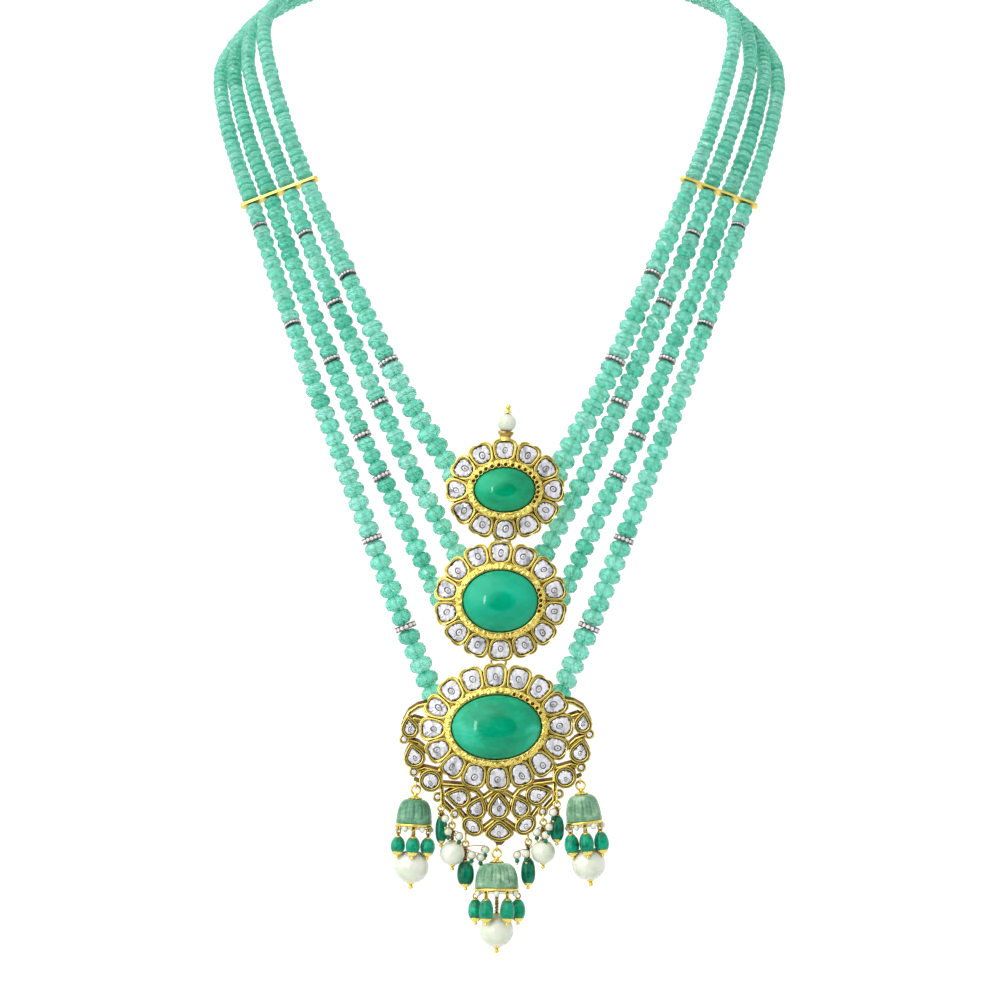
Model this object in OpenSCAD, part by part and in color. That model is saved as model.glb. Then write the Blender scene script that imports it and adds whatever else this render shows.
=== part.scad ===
// Polki necklace: four bead strands a side, three medallions, a pierced crescent and its drops.
// Origin: middle of the neck opening, level with the top of the shoulders. Front faces -Y, +Z up.

/* [Strands] */
// Width of the beads in the strands round the neck
neck_bead_d = 4.6; // [4.2:0.1:4.7]
// Width of the first bead below each spacer bar
first_bead_d = 5.6; // [5.2:0.1:5.7]
// Length of a bead as a share of its width
bead_ratio = 0.6; // [0.56:0.02:0.68]
// Bore of the beads
bead_bore = 1; // [0.9:0.1:1.2]
// Thickness of the bead thread
thread_d = 0.5; // [0.4:0.1:0.6]

/* [Medallions] */
// Thickness of the plate behind each medallion
plate_t = 1.6; // [1.4:0.1:1.8]
// Thickness of the petals and of the crescent's settings
petal_t = 2.4; // [2.2:0.1:2.8]
// How far the petals lean back at their outer ends, in degrees
petal_lean = 8; // [4:1:12]
// Width of the gold wall round each petal's stone
rim_w = 0.8; // [0.6:0.05:0.9]
// Width of the sloping gold collet round each cabochon
collet_w = 1.9; // [1.6:0.1:2.2]
// How far the lowest medallion is turned, in degrees
pendant_turn = 1.5; // [0:0.5:2]

/* [Drops] */
// Width of the large pearls under the bells
bell_pearl_d = 10.2; // [9.6:0.1:10.4]
// Width of the emerald drops round a bell's rim
rim_drop_d = 4.4; // [4:0.1:4.6]
// Length of the emerald drops round a bell's rim
rim_drop_l = 5; // [4.6:0.1:5.2]
// Wire of the rings that the bells hang by
ring_wire = 0.7; // [0.6:0.05:0.8]

/* [Fit] */
// Air between a stone and its setting, and between two beads
gap = 0.1; // [0.1:0.01:0.14]

/* [Hidden] */
$fn = 48;
face_y = -79.4;             // back of the medallions
strand_y = face_y + 4.2;    // strands end behind the petals
spacer_inner = [58.4, -44, -46.9];
spacer_outer = [75.1, -41, -53.1];
nape_y = 61;
nape_z = 24;
strand_step = 5;            // from one strand to the next at the nape
end_gap = 0.4;              // air between a strand and what holds it
neck_gap = 0.8;             // the same above a spacer bar, which lies aslant there
bead_gap = 0.2;             // air between two beads of a string
spacer_t = 0.8;             // thickness of a spacer bar

// Medallion: centre x and z, cabochon half width and half height, its rise, petals, petal length
X = 0;
Z = 1;
CAB_A = 2;
CAB_B = 3;
RISE = 4;
PETALS = 5;
REACH = 6;
top_m = [1.7, -140.3, 9.1, 6.6, 4.2, 12, 6.6];
middle_m = [0.4, -173.7, 11.2, 9.2, 5, 14, 6.7];
bottom_m = [-0.8, -211.5, 13.4, 9.6, 5.2, 16, 7.5];

// Lugs that hold the strands: x and z from the medallion's centre
lug_a = [14, 2.6];
lug_b = [11.9, 12];
lug_c = [17.4, -1.5];
lug_d = [18.1, 7.6];

// Route of each strand on the right side from the nape to its spacer bar: x, y, z
neck_a = [[3, nape_y, nape_z], [24, 58, 23.6], [45, 48, 21.5], [62, 33, 16.5], [70.6, 15, 8.6],
    [72.4, -4, 0], [70.1, -17, -12.1], [64.6, -33, -30.5], spacer_at(0)];
neck_b = [[3, nape_y + strand_step, nape_z - 0.6], [26, 62.5, 22.8], [49, 51.5, 20], [67, 34.5, 12],
    [75.6, 16, 3.5], [77.3, -1, -6], [76.2, -12, -14], [71, -29.5, -30.5], spacer_at(1)];
neck_c = [[3, nape_y + 2 * strand_step, nape_z - 1.2], [28, 67, 22], [53, 55, 18], [71, 36.5, 9],
    [79.6, 17, -0.6], [81.6, 0, -10.4], [79.8, -15, -21.4], [75.2, -30, -37], spacer_at(2)];
neck_d = [[3, nape_y + 3 * strand_step, nape_z - 1.8], [30, 71.5, 21.2], [57, 58.5, 16], [75, 39, 6],
    [83.6, 18.5, -5], [85.8, 1.5, -13.4], [84.3, -14, -24.6], [80.3, -28, -39], spacer_at(3)];

// Route of each strand from its spacer bar to its medallion: x, y, z, before the medallion's offset
front_a = [spacer_at(0), [50.6, -54.6, -65], [40.6, -65, -87.7], [28.7, -71.6, -112.6],
    [lug_a[0], strand_y, top_m[Z] + lug_a[1]]];
front_b = [spacer_at(1), [55.8, -54, -70.1], [44.7, -64.5, -95.2], [34.4, -70.8, -118],
    [25.6, -74.4, -136.2], [lug_b[0], strand_y, middle_m[Z] + lug_b[1]]];
front_c = [spacer_at(2), [61.6, -54, -73.8], [52.1, -63.8, -97.3], [41.3, -71, -124.2],
    [30.2, -74.8, -147], [lug_c[0], strand_y, middle_m[Z] + lug_c[1]]];
front_d = [spacer_at(3), [65.8, -55, -80.5], [56.6, -65, -106.3], [47, -71.4, -131.1],
    [37.4, -74.8, -156.3], [28.9, strand_y, -178.4],
    [lug_d[0], strand_y, bottom_m[Z] + lug_d[1]]];

// Beads between one rondelle and the next, counted down from the spacer bar
runs_a = [9, 7, 9];
end_d_a = 7.6;
end_d_b = 6.8;
end_d_c = 6.5;
end_d_d = 7.3;

// Crescent stones on the right half: x, y, width, length, angle; 0 points up
pears = [[26, 0.6, 3.7, 4.8, -8], [24.9, -8, 4.7, 5.5, -12], [12.1, -20.7, 4.5, 6, -76],
    [6.5, -24.2, 4.4, 5.2, 24]];
rounds = [[20.2, -15.6, 4.8, 4.6, 20], [8, -29.6, 3.4, 4.9, -52]];
accents = [[27.8, -2.9], [25.1, -12.8], [18.2, -20.5], [13.2, -25.7]];
centre_pear = [0, -23.9, 5, 6.4, 0];
shield_at = [0, -31.2];

// Gold bars between the settings on the right half: from x, y to x, y
bars = [[20.2, 7.3, 23.2, 6.7], [23.2, 6.7, 25.8, 5.1], [25.8, 5.1, 27.4, 2.4], [20.8, 1.8, 24.6, 3],
    [20.8, -7, 23.8, -4.4], [23.8, -4.4, 27.8, -2.9], [17.4, -13.2, 22, -12], [22, -12, 25.1, -12.8],
    [17.2, -12.4, 16.9, -18], [16.9, -18, 16.7, -22.4], [16.7, -22.4, 13.6, -25.6],
    [16.9, -17, 10.4, -17.6], [10.4, -17.6, 6.6, -19.2], [6.6, -19.2, 4.5, -21.6],
    [4.5, -21.6, 0.6, -19], [4.5, -21.6, 3.4, -24.6], [0, -27.3, 5.4, -31.2], [5.6, -27, 5.4, -31.2],
    [5.4, -31.2, 8, -32], [12.4, -24.4, 10.2, -27.2]];
bar_w = 1.3;
cell_w = 1.1;               // gold wall round each crescent stone
bar_t = 2.6;

// Lugs under the crescent: x, y from the medallion's centre
bell_lug = [24.6, -16.5];
centre_lug = [-0.9, -36.2];
lug_r = 1.15;
lug_wire = 0.6;

// Small drops: x, lug z, depth from the face, stone's centre z, width, length
left_drops = [[-17.4, -234.4, 3.2, -242.2, 3.6, 7.6], [-14.1, -239.6, 2.7, -249.3, 7.4, 7.4],
    [-10.1, -245.2, 0.7, -255.4, 5.2, 7.3]];
right_drops = [[17.3, -233.2, 3.2, -241.8, 4.4, 7.5], [13.2, -238.6, 2.7, -248.9, 7.2, 7.2],
    [8.7, -244.6, 0.7, -254.9, 4.4, 7.7]];
drop_wire = 0.6;
wire_ring_r = 0.95;         // rings of the small drops
link_r = 2.2;               // links between the medallions

// Bell rings, rims and the depth of their lugs from the face
bell_ring_r = 1.3;
rim_t = 1;
mid_t = 1.6;

// Finial on the top medallion: a neck, a cup, a pearl and a cap
finial_lean = -6;
finial_pearl_d = 5.7;
cup_top = 2.7;

// Bells: side, lug, lean, dome radius, dome height, radius of the circle of drops, angle of the
// first drop, how much longer its drops are
bell_left = [-1, bell_lug, -3, 5.4, 7.4, 5.15, 30, 0];
bell_centre = [0, centre_lug, 0, 6.6, 7.5, 6.4, 0, 1.2];
bell_right = [1, bell_lug, 6, 5.4, 8, 5.15, 30, 1];
dome_fullness = 0.45;       // less is squarer at the shoulder
dome_top = 4.5;             // from the lug's centre down to the top of a dome
drop_fall = 6.6;            // from the rim down to the middle of its drops
pearl_fall = 12.8;          // from the rim down to the middle of the pearl
seat = lug_r - lug_wire / 2 - 0.12; // from a lug's centre down to where a ring's wire hangs

gold = [0.86, 0.68, 0.22];
bead_green = [0.45, 0.83, 0.69];
emerald = [0.05, 0.55, 0.38];
polki = [0.86, 0.87, 0.86];
pearl = [0.93, 0.95, 0.88];
jade = [0.5, 0.7, 0.6];
steel = [0.55, 0.53, 0.5];
silk = [0.85, 0.8, 0.6];

function mix(a, b, t) = a + (b - a) * t;
function unit(v) = v / norm(v);
function total(v, i = 0) = len(v) == 0 ? 0 : i < len(v) - 1 ? v[i] + total(v, i + 1) : v[i];
function spacer_at(k) = mix(spacer_inner, spacer_outer, k / 3);
function vary(i, k) = sin(i * 137 + k * 71);
function turned(p, a) = [p[0] * cos(a) - p[1] * sin(a), p[0] * sin(a) + p[1] * cos(a)];
function ellipse(a, b, n) = [for (i = [0:n - 1]) [a * cos(360 * i / n), b * sin(360 * i / n)]];

// Smooth curve through the points of a route, and even steps along it
function curve_at(a, b, c, d, t) =
    0.5 * (2 * b + (c - a) * t + (2 * a - 5 * b + 4 * c - d) * t * t + (3 * b - a - 3 * c + d) * t * t * t);
function smooth(p, n = 10) = [
    for (i = [0:len(p) - 2], j = [0:n - 1])
        curve_at(p[max(i - 1, 0)], p[i], p[i + 1], p[min(i + 2, len(p) - 1)], j / n),
    p[len(p) - 1]];
function lengths(r) = [
    for (i = 0, s = 0; i < len(r); s = s + (i + 1 < len(r) ? norm(r[i + 1] - r[i]) : 0), i = i + 1) s];
function along(r, c, s, i = 1) =
    i >= len(c) - 1 || c[i] >= s ? mix(r[i - 1], r[i], (s - c[i - 1]) / (c[i] - c[i - 1]))
                                 : along(r, c, s, i + 1);
function heading(r, c, s, i = 1) =
    i >= len(c) - 1 || c[i] >= s ? unit(r[i] - r[i - 1]) : heading(r, c, s, i + 1);
function even(r, n, s0, s1) = let (c = lengths(r), l = c[len(c) - 1] - s1)
    [for (i = [0:n]) along(r, c, mix(s0, l, i / n))];

// A front route on one side, with its medallion's offset eased in towards the lower end
function front(route, side, offset) = let (n = len(route) - 1)
    [for (i = [0:n]) [side * route[i][0] + offset * pow(i / n, 2), route[i][1], route[i][2]]];
function neck(route, side) = [for (p = route) [side * p[0], p[1], p[2]]];

// Beads and rondelles of a string in order: kind, length, width; kind 1 is a rondelle
function items(runs, end_d) = [
    for (r = [0:len(runs) - 1], k = [0:runs[r] - (r < len(runs) - 1 ? 0 : 1)])
        let (i = total([for (q = [0:1:r - 1]) runs[q]]) + min(k, runs[r] - 1),
             t = i / (total(runs) - 1), d = mix(first_bead_d, end_d, t))
        k < runs[r] ? [0, bead_ratio * d, d * (1 + 0.03 * vary(i, 1))]
                    : [1, mix(1.1, 1.8, t), d * mix(0.82, 1, t)]];
function starts(list) = [
    for (i = 0, s = 0; i < len(list); s = s + list[i][1], i = i + 1) s];

module along_string(route, runs, end_d, wanted) {
    list = items(runs, end_d);
    begin = starts(list);
    c = lengths(route);
    first = spacer_t / 2 + end_gap;
    stretch = (c[len(c) - 1] - first - end_gap) / total([for (e = list) e[1]]);
    for (i = [0:len(list) - 1])
        if (list[i][0] == wanted) {
            s = first + stretch * (begin[i] + list[i][1] / 2);
            pointed(along(route, c, s), heading(route, c, s))
                if (wanted == 0)
                    bead(list[i][2], stretch * list[i][1] - bead_gap, 36 * vary(i, 2));
                else
                    rondelle(list[i][2], stretch * list[i][1] - bead_gap);
        }
}

// Puts children's Z along a direction
module pointed(at, dir) {
    side = unit(cross([0, 1, 0.3], dir));
    up = cross(dir, side);
    multmatrix([[side[0], up[0], dir[0], at[0]], [side[1], up[1], dir[1], at[1]],
        [side[2], up[2], dir[2], at[2]]])
        children();
}

// Walls between rings of n points each, in triangles that look outwards
function walls(rings, n, looped = false) = [
    for (i = [0:rings - (looped ? 1 : 2)], k = [0:n - 1], half = [0:1])
        let (a = i * n, b = (i + 1) % rings * n, next = (k + 1) % n)
        half == 0 ? [a + k, b + next, a + next] : [a + k, b + k, b + next]];
function caps(rings, n) = [[for (k = [0:n - 1]) k], [for (k = [n - 1:-1:0]) (rings - 1) * n + k]];

// Solid through rings of points given from the bottom up
module stacked(rings) {
    n = len(rings[0]);
    polyhedron([for (r = rings) each r], concat(walls(len(rings), n), caps(len(rings), n)));
}

// Tube along a route
module swept(route, radii, sides = 8) {
    n = len(route);
    stacked([for (i = [0:n - 1])
        let (dir = unit(route[min(i + 1, n - 1)] - route[max(i - 1, 0)]),
             side = unit(cross([0, 1, 0.3], dir)), up = cross(dir, side))
        [for (k = [0:sides - 1])
            route[i] + radii[i] * (side * cos(360 * k / sides) + up * sin(360 * k / sides))]]);
}

// Faceted rondelle bead, drilled along Z: height, width and turn of each ring of corners
bead_rings = [[-0.5, 0.58, 0], [-0.3, 0.9, 0.5], [0, 1, 0], [0.3, 0.9, 0.5], [0.5, 0.58, 0]];
module bead(d, l, turn) {
    n = 12;
    difference() {
        stacked([for (v = bead_rings) [for (k = [0:n - 1])
            let (a = 360 * (k + v[2]) / n + turn) [v[1] * d / 2 * cos(a), v[1] * d / 2 * sin(a), v[0] * l]]]);
        cylinder(d = bead_bore, h = 2 * l, center = true, $fn = 24);
    }
}

// Diamond-set rondelle: a stepped disc, drilled along Z
module rondelle(d, l) {
    difference() {
        union() {
            cylinder(d = d, h = 0.62 * l, center = true);
            cylinder(d = d - 0.8, h = l, center = true);
        }
        cylinder(d = bead_bore, h = 2 * l, center = true, $fn = 24);
    }
}

// Flat stone with a table, standing on z = 0
module cut_stone(outline, girdle = 0.7, crown = 0.5, table = 0.66) {
    middle = total(outline) / len(outline);
    stacked([[for (p = outline) [p[0], p[1], 0]], [for (p = outline) [p[0], p[1], girdle]],
        [for (p = outline) [mix(middle[0], p[0], table), mix(middle[1], p[1], table), girdle + crown]]]);
}

// A medallion's own plane: X right, Y up, Z towards the viewer
module on_face(m, turn = 0) {
    translate([m[X], face_y, m[Z]]) rotate([90, 0, 0]) rotate([0, 0, turn]) children();
}

// Point at a distance outside a medallion's collet, and the width of a petal there
function round_at(m, t, r) = let (a = m[CAB_A] + collet_w, b = m[CAB_B] + collet_w)
    [a * cos(t), b * sin(t)] + r * unit([cos(t) / a, sin(t) / b]);
function petal_width(m, t, r) = let (half = 180 / m[PETALS])
    norm(round_at(m, t + half, r) - round_at(m, t - half, r)) - 0.2;

// Petal seen from the front, its inner edge on y = 0
function petal_shape(wi, wo, reach, dip) = [[-wi / 2, -0.6], [wi / 2, -0.6], [wo / 2, 0.7 * reach],
    [0.44 * wo, 0.88 * reach], [0.3 * wo, 0.98 * reach], [0.13 * wo, reach], [0, reach - dip],
    [-0.13 * wo, reach], [-0.3 * wo, 0.98 * reach], [-0.44 * wo, 0.88 * reach], [-wo / 2, 0.7 * reach]];
function petal_stone(wi, wo, reach, i) = let (s = 1 + 0.05 * vary(i, 3), a = wi / 2 - rim_w - 0.1,
        b = (wo / 2 - rim_w - 0.35) * s, low = rim_w - 0.3, high = reach - rim_w - 0.1)
    [[-a, low], [a, low], [b, mix(low, high, 0.55)], [0.92 * b, mix(low, high, 0.84)],
     [0.5 * b, high], [-0.4 * b, high + 0.1 * vary(i, 4)], [-0.88 * b, mix(low, high, 0.86)],
     [-b, mix(low, high, 0.5)]];

// Places a child at each petal of a medallion
module each_petal(m) {
    for (i = [0:m[PETALS] - 1]) {
        t = 90 + 360 * i / m[PETALS];
        out = round_at(m, t, 1) - round_at(m, t, 0);
        $petal = i;
        $wi = petal_width(m, t, 0);
        $wo = petal_width(m, t, 0.8 * m[REACH]);
        translate([round_at(m, t, 0)[0], round_at(m, t, 0)[1], plate_t - 0.3])
            rotate([0, 0, atan2(out[1], out[0]) - 90])
                rotate([-petal_lean, 0, 0])
                    children();
    }
}

module petal_stones(m) {
    each_petal(m)
        translate([0, 0, petal_t - 1.1])
            cut_stone(petal_stone($wi, $wo, m[REACH], $petal));
}

module collet(m) {
    n = 32;
    high = plate_t + 2.9;
    levels = [[collet_w + 0.2, 0.4], [collet_w, high - 1.5], [0.55, high], [gap, high], [gap, 0.4]];
    rings = [for (v = levels) [for (p = ellipse(m[CAB_A] + v[0], m[CAB_B] + v[0], n)) [p[0], p[1], v[1]]]];
    polyhedron([for (r = rings) each r], walls(len(levels), n, true));
}

// Plate, collet and petals; children are gold that reaches in between the petals
module medallion(m) {
    linear_extrude(plate_t)
        difference() {
            polygon(ellipse(m[CAB_A] + collet_w + m[REACH] - 1.7, m[CAB_B] + collet_w + m[REACH] - 1.9, 64));
            polygon(ellipse(m[CAB_A] - 2.4, m[CAB_B] - 2.4, 48));
        }
    collet(m);
    difference() {
        union() {
            each_petal(m)
                linear_extrude(petal_t)
                    polygon(petal_shape($wi, $wo, m[REACH], 0.35 + 0.2 * vary($petal, 5)));
            children();
        }
        each_petal(m)
            translate([0, 0, petal_t - 1.2])
                linear_extrude(2.4)
                    offset(delta = gap)
                        polygon(petal_stone($wi, $wo, m[REACH], $petal));
    }
}

module cabochon(m) {
    shoulder = plate_t + 2.6;
    levels = concat([[1, plate_t + gap]],
        [for (t = [0, 14, 28, 42, 56, 70, 81]) [cos(t), shoulder + m[RISE] * sin(t)]]);
    color(emerald)
        stacked([for (v = levels)
            [for (p = ellipse(m[CAB_A] * v[0], m[CAB_B] * v[0], 40)) [p[0], p[1], v[1]]]]);
}

// Ring with its wire's centre on a circle in the XY plane
module ring(r, wire) {
    rotate_extrude()
        translate([r, 0])
            circle(d = wire, $fn = 20);
}

// Small ring that a link or a drop passes through from side to side
module side_ring(at) {
    translate(at) rotate([0, 90, 0]) ring(lug_r, lug_wire);
}

// Tube behind a medallion that a strand's thread runs into, on an arm from the plate
module strand_lug(lug, side, dir) {
    at = [side * lug[0], lug[1], face_y - strand_y];
    difference() {
        union() {
            pointed(at, [dir[0], dir[2], -dir[1]]) cylinder(d = 2.2, h = 1.6);
            translate([0, 0, at[2]])
                linear_extrude(1.5)
                    bar([at[0], at[1]] * 0.92, [at[0], at[1]] * 0.8, 1.4);
            translate([0, 0, at[2]])
                linear_extrude(0.6 - at[2])
                    bar([at[0], at[1]] * 0.8, [at[0], at[1]] * 0.75, 1.8);
        }
        pointed(at, [dir[0], dir[2], -dir[1]])
            translate([0, 0, -1]) cylinder(d = bead_bore, h = 2.1, $fn = 24);
    }
}

// Round-ended flat bar between two points
module bar(p, q, w) {
    d = q - p;
    translate(p) rotate(atan2(d[1], d[0])) {
        translate([0, -w / 2]) square([norm(d), w]);
        circle(d = w, $fn = 16);
        translate([norm(d), 0]) circle(d = w, $fn = 16);
    }
}

function last_heading(route) = let (n = len(route)) unit(route[n - 1] - route[n - 2]);
function end_dir(route, side, offset) = last_heading(smooth(front(route, side, offset)));

module both_lugs(m, lug, route) {
    for (side = [-1, 1])
        strand_lug(lug, side, end_dir(route, side, m[X]));
}

module at_finial() {
    on_face(top_m)
        translate([0, top_m[CAB_B] + collet_w + 5.9, 1.6])
            rotate([0, 0, finial_lean])
                rotate([-90, 0, 0])
                    children();
}

module finial_pin() {
    pearl_top = cup_top + 0.16 + finial_pearl_d;
    translate([0, 0, 0.3]) {
        cylinder(d1 = 4, d2 = 3, h = 1.5);
        cylinder(d = 0.8, h = pearl_top + 1.7);
    }
    translate([0, 0, 1.2]) cylinder(d1 = 2.4, d2 = 4.4, h = cup_top - 1.2);
    translate([0, 0, pearl_top + gap]) cylinder(d1 = 2.8, d2 = 1.2, h = 1.1);
    translate([0, 0, pearl_top + 1.9]) sphere(d = 1.6);
}

module drilled_pearl(d) {
    color(pearl)
        difference() {
            sphere(d = d);
            cylinder(d = 1, h = 2 * d, center = true, $fn = 24);
        }
}

module finial_pearl() {
    at_finial() translate([0, 0, cup_top + 0.16 + finial_pearl_d / 2]) drilled_pearl(finial_pearl_d);
}

// The lug rings behind two neighbouring medallions and the link between them
function middle_of(a, b) = (a[Z] - a[CAB_B] - a[REACH] + b[Z] + b[CAB_B] + b[REACH]) / 2;
upper_gap = middle_of(top_m, middle_m);
lower_gap = middle_of(middle_m, bottom_m);

module link_lug(m, z, up) {
    translate([0, z - m[Z] + up * link_r, -0.6]) rotate([0, 90, 0]) ring(lug_r, lug_wire);
}

module link(a, b, z) {
    color(gold)
        translate([(a[X] + b[X]) / 2, face_y + 0.6, z]) rotate([90, 0, 0]) ring(link_r, ring_wire);
}

module top_setting() {
    color(gold) {
        on_face(top_m) {
            medallion(top_m);
            both_lugs(top_m, lug_a, front_a);
            link_lug(top_m, upper_gap, 1);
        }
        at_finial() finial_pin();
    }
}

module middle_setting() {
    color(gold)
        on_face(middle_m) {
            medallion(middle_m);
            both_lugs(middle_m, lug_b, front_b);
            both_lugs(middle_m, lug_c, front_c);
            link_lug(middle_m, upper_gap, -1);
            link_lug(middle_m, lower_gap, 1);
        }
}

// Outlines of the crescent's stones, tip up
function pear(w, l) = [[0, l / 2], [-0.26 * w, 0.24 * l], [-0.47 * w, -0.04 * l], [-0.44 * w, -0.28 * l],
    [-0.2 * w, -0.47 * l], [0.2 * w, -0.47 * l], [0.44 * w, -0.28 * l], [0.47 * w, -0.04 * l],
    [0.26 * w, 0.24 * l]];
function shield() = [[0, 2.4], [-1.7, 1], [-3.3, -0.7], [-2, -1.7], [-0.7, -2.1], [0.7, -2.1], [2, -1.7],
    [3.3, -0.7], [1.7, 1]];
function placed(outline, s) = [for (p = outline) turned(p, s[4]) + [s[0], s[1]]];
function flipped(outline) = [for (i = [len(outline) - 1:-1:0]) [-outline[i][0], outline[i][1]]];
half_stones = concat([for (s = pears) placed(pear(s[2], s[3]), s)],
    [for (s = rounds) placed(ellipse(s[2] / 2, s[3] / 2, 9), s)]);
crescent_stones = concat(half_stones, [for (o = half_stones) flipped(o)],
    [placed(pear(centre_pear[2], centre_pear[3]), centre_pear),
     [for (p = shield()) p + shield_at]]);

module crescent() {
    difference() {
        union() {
            linear_extrude(bar_t) {
                for (side = [-1, 1], b = bars)
                    bar([side * b[0], b[1]], [side * b[2], b[3]], bar_w);
                polygon([[-2.6, -33.4], [2.6, -33.4], [0.6, -35.4], [-0.6, -35.4]]);
            }
            linear_extrude(plate_t + 1.6)
                for (o = crescent_stones)
                    offset(r = cell_w, $fn = 16) polygon(o);
            for (side = [-1, 1], p = accents)
                translate([side * p[0], p[1], 0]) {
                    cylinder(d = 3, h = plate_t + 1.2);
                    cylinder(d = 1.8, h = plate_t + 1.5);
                }
        }
        translate([0, 0, plate_t + 0.4])
            linear_extrude(3)
                for (o = crescent_stones)
                    offset(delta = gap) polygon(o);
    }
}

module crescent_polki() {
    color(polki)
        on_face(bottom_m, pendant_turn)
            translate([0, 0, plate_t + 0.5])
                for (o = crescent_stones) cut_stone(o);
}

// World place of a point of the lowest medallion
function pendant_at(p) = let (q = turned(p, pendant_turn)) [bottom_m[X] + q[0], bottom_m[Z] + q[1]];

module drop_lug(x, z, depth) {
    translate([x, face_y - depth, z]) {
        side_ring([0, 0, 0]);
        translate([0, 0, lug_r]) cylinder(d = lug_wire, h = 2.2);
    }
}

module bottom_setting() {
    color(gold) {
        on_face(bottom_m, pendant_turn) {
            medallion(bottom_m) crescent();
            link_lug(bottom_m, lower_gap, -1);
            for (side = [-1, 1])
                linear_extrude(bar_t)
                    bar([side * 23.2, -15.6], [side * bell_lug[0], bell_lug[1] + 1.5], bar_w);
        }
        on_face(bottom_m) both_lugs(bottom_m, lug_d, front_d);
        for (b = [bell_left, bell_centre, bell_right])
            bell_at(b) side_ring([0, 0, 0]);
        for (d = concat(left_drops, right_drops))
            drop_lug(d[0], d[1], d[2]);
    }
}

// Bells: frame at the lug's centre
module bell_at(b) {
    at = pendant_at([b[0] == 0 ? b[1][0] : b[0] * b[1][0], b[1][1]]);
    translate([at[0], face_y - mid_t, at[1]]) children();
}

// Bell frame leant sideways, with its own origin at the lug's centre
module bell_frame(b) {
    bell_at(b) rotate([0, -b[2], 0]) children();
}

function rim_of(b) = -dome_top - b[4];
function drop_l(b) = rim_drop_l + b[7];

module bell_gold(b) {
    rim_z = rim_of(b);
    pearl_z = rim_z - pearl_fall;
    ring_z = -seat + ring_wire / 2 - bell_ring_r;
    top = ring_z - bell_ring_r;
    pin_low = pearl_z - bell_pearl_d / 2 - 1;
    drop_low = rim_z - drop_fall - drop_l(b) / 2 - 0.9;
    color(gold) {
        // the ring's upper wire is straight where it turns in the lug
        bell_at(b)
            translate([0, 0, -seat + ring_wire / 2])
                rotate([0, 90, 0]) cylinder(d = ring_wire + 0.06, h = 1, center = true);
        bell_frame(b) {
            translate([0, 0, ring_z]) rotate([90, 0, 0]) ring(bell_ring_r, ring_wire);
            translate([0, 0, -dome_top + gap]) cylinder(d1 = 3.4, d2 = 1, h = dome_top + top - gap + 0.2);
            translate([0, 0, pin_low]) cylinder(d = 0.8, h = 1 - dome_top - pin_low);
            translate([0, 0, rim_z - rim_t])
                difference() {
                    cylinder(r = b[3] + 0.25, h = rim_t);
                    for (k = [0:11])
                        rotate(30 * k + 15)
                            translate([b[3] * 0.5, 0, -1]) cylinder(d = 1.2, h = 4, $fn = 16);
                }
            for (k = [0:5])
                rotate(b[6] + 60 * k)
                    translate([b[5], 0, drop_low]) {
                        cylinder(d = 0.5, h = rim_z - drop_low);
                        cylinder(d1 = 0.8, d2 = 1.5, h = 0.8);
                        translate([0, 0, drop_l(b) + 1]) cylinder(d1 = 1.3, d2 = 0.6, h = 0.6);
                    }
            translate([0, 0, pearl_z + bell_pearl_d / 2 + gap]) cylinder(d1 = 1.8, d2 = 1, h = 0.7);
            translate([0, 0, pearl_z - bell_pearl_d / 2 - 1.2]) cylinder(d1 = 1.4, d2 = 2.8, h = 1.1);
        }
    }
}

module bell_dome(b) {
    wall = [for (t = [0:7.5:90]) [b[3] * pow(cos(t), dome_fullness), b[4] * sin(t)]];
    color(jade)
        bell_frame(b)
            translate([0, 0, rim_of(b) + gap])
                difference() {
                    rotate_extrude() polygon(concat([[0, 0]], wall));
                    translate([0, 0, -1]) cylinder(d = 1.1, h = 20, $fn = 24);
                    for (k = [0:9])
                        rotate(36 * k)
                            translate([b[3] + 0.35, 0, -1])
                                rotate([0, -6, 0]) cylinder(d = 1.2, h = b[4] * 0.75, $fn = 20);
                    translate([0, 0, b[4] - gap]) cylinder(d = 3.8, h = 2);
                }
}

// Barrel of an emerald drop, drilled along Z, its middle on z = 0
module barrel(d, l) {
    color(emerald)
        difference() {
            rotate_extrude($fn = 32)
                polygon([[0, -l / 2], [0.26 * d, -l / 2], [0.4 * d, -0.38 * l], [0.48 * d, -0.2 * l],
                    [0.5 * d, 0], [0.48 * d, 0.2 * l], [0.4 * d, 0.38 * l], [0.26 * d, l / 2], [0, l / 2]]);
            cylinder(d = 0.8, h = 2 * l, center = true, $fn = 24);
        }
}

module bell_drops(b) {
    bell_frame(b)
        for (k = [0:5])
            rotate(b[6] + 60 * k)
                translate([b[5], 0, rim_of(b) - drop_fall]) barrel(rim_drop_d, drop_l(b));
}

module bell_pearl(b) {
    bell_frame(b)
        translate([0, 0, rim_of(b) - pearl_fall]) drilled_pearl(bell_pearl_d);
}

// A small drop's ring, wire and end cap; the ring hangs in the crescent's lug
module drop_wires(drops) {
    color(gold)
        for (d = drops) {
            ring_z = d[1] - seat + drop_wire / 2 - wire_ring_r;
            low = d[3] - d[5] / 2;
            translate([d[0], face_y - d[2], 0]) {
                translate([0, 0, ring_z]) rotate([90, 0, 0]) ring(wire_ring_r, drop_wire);
                translate([0, 0, low - 1]) cylinder(d = drop_wire - 0.1, h = ring_z - wire_ring_r - low + 1);
                translate([0, 0, low - 1]) cylinder(d1 = 0.8, d2 = 2, h = 0.9);
                translate([0, 0, low + d[5] + gap]) cylinder(d1 = 1.6, d2 = 0.7, h = 0.7);
            }
        }
}

module drop_stones(drops) {
    for (d = drops)
        translate([d[0], face_y - d[2], d[3]])
            if (d[4] > 7) drilled_pearl(d[4]); else barrel(d[4], d[5]);
}

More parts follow.
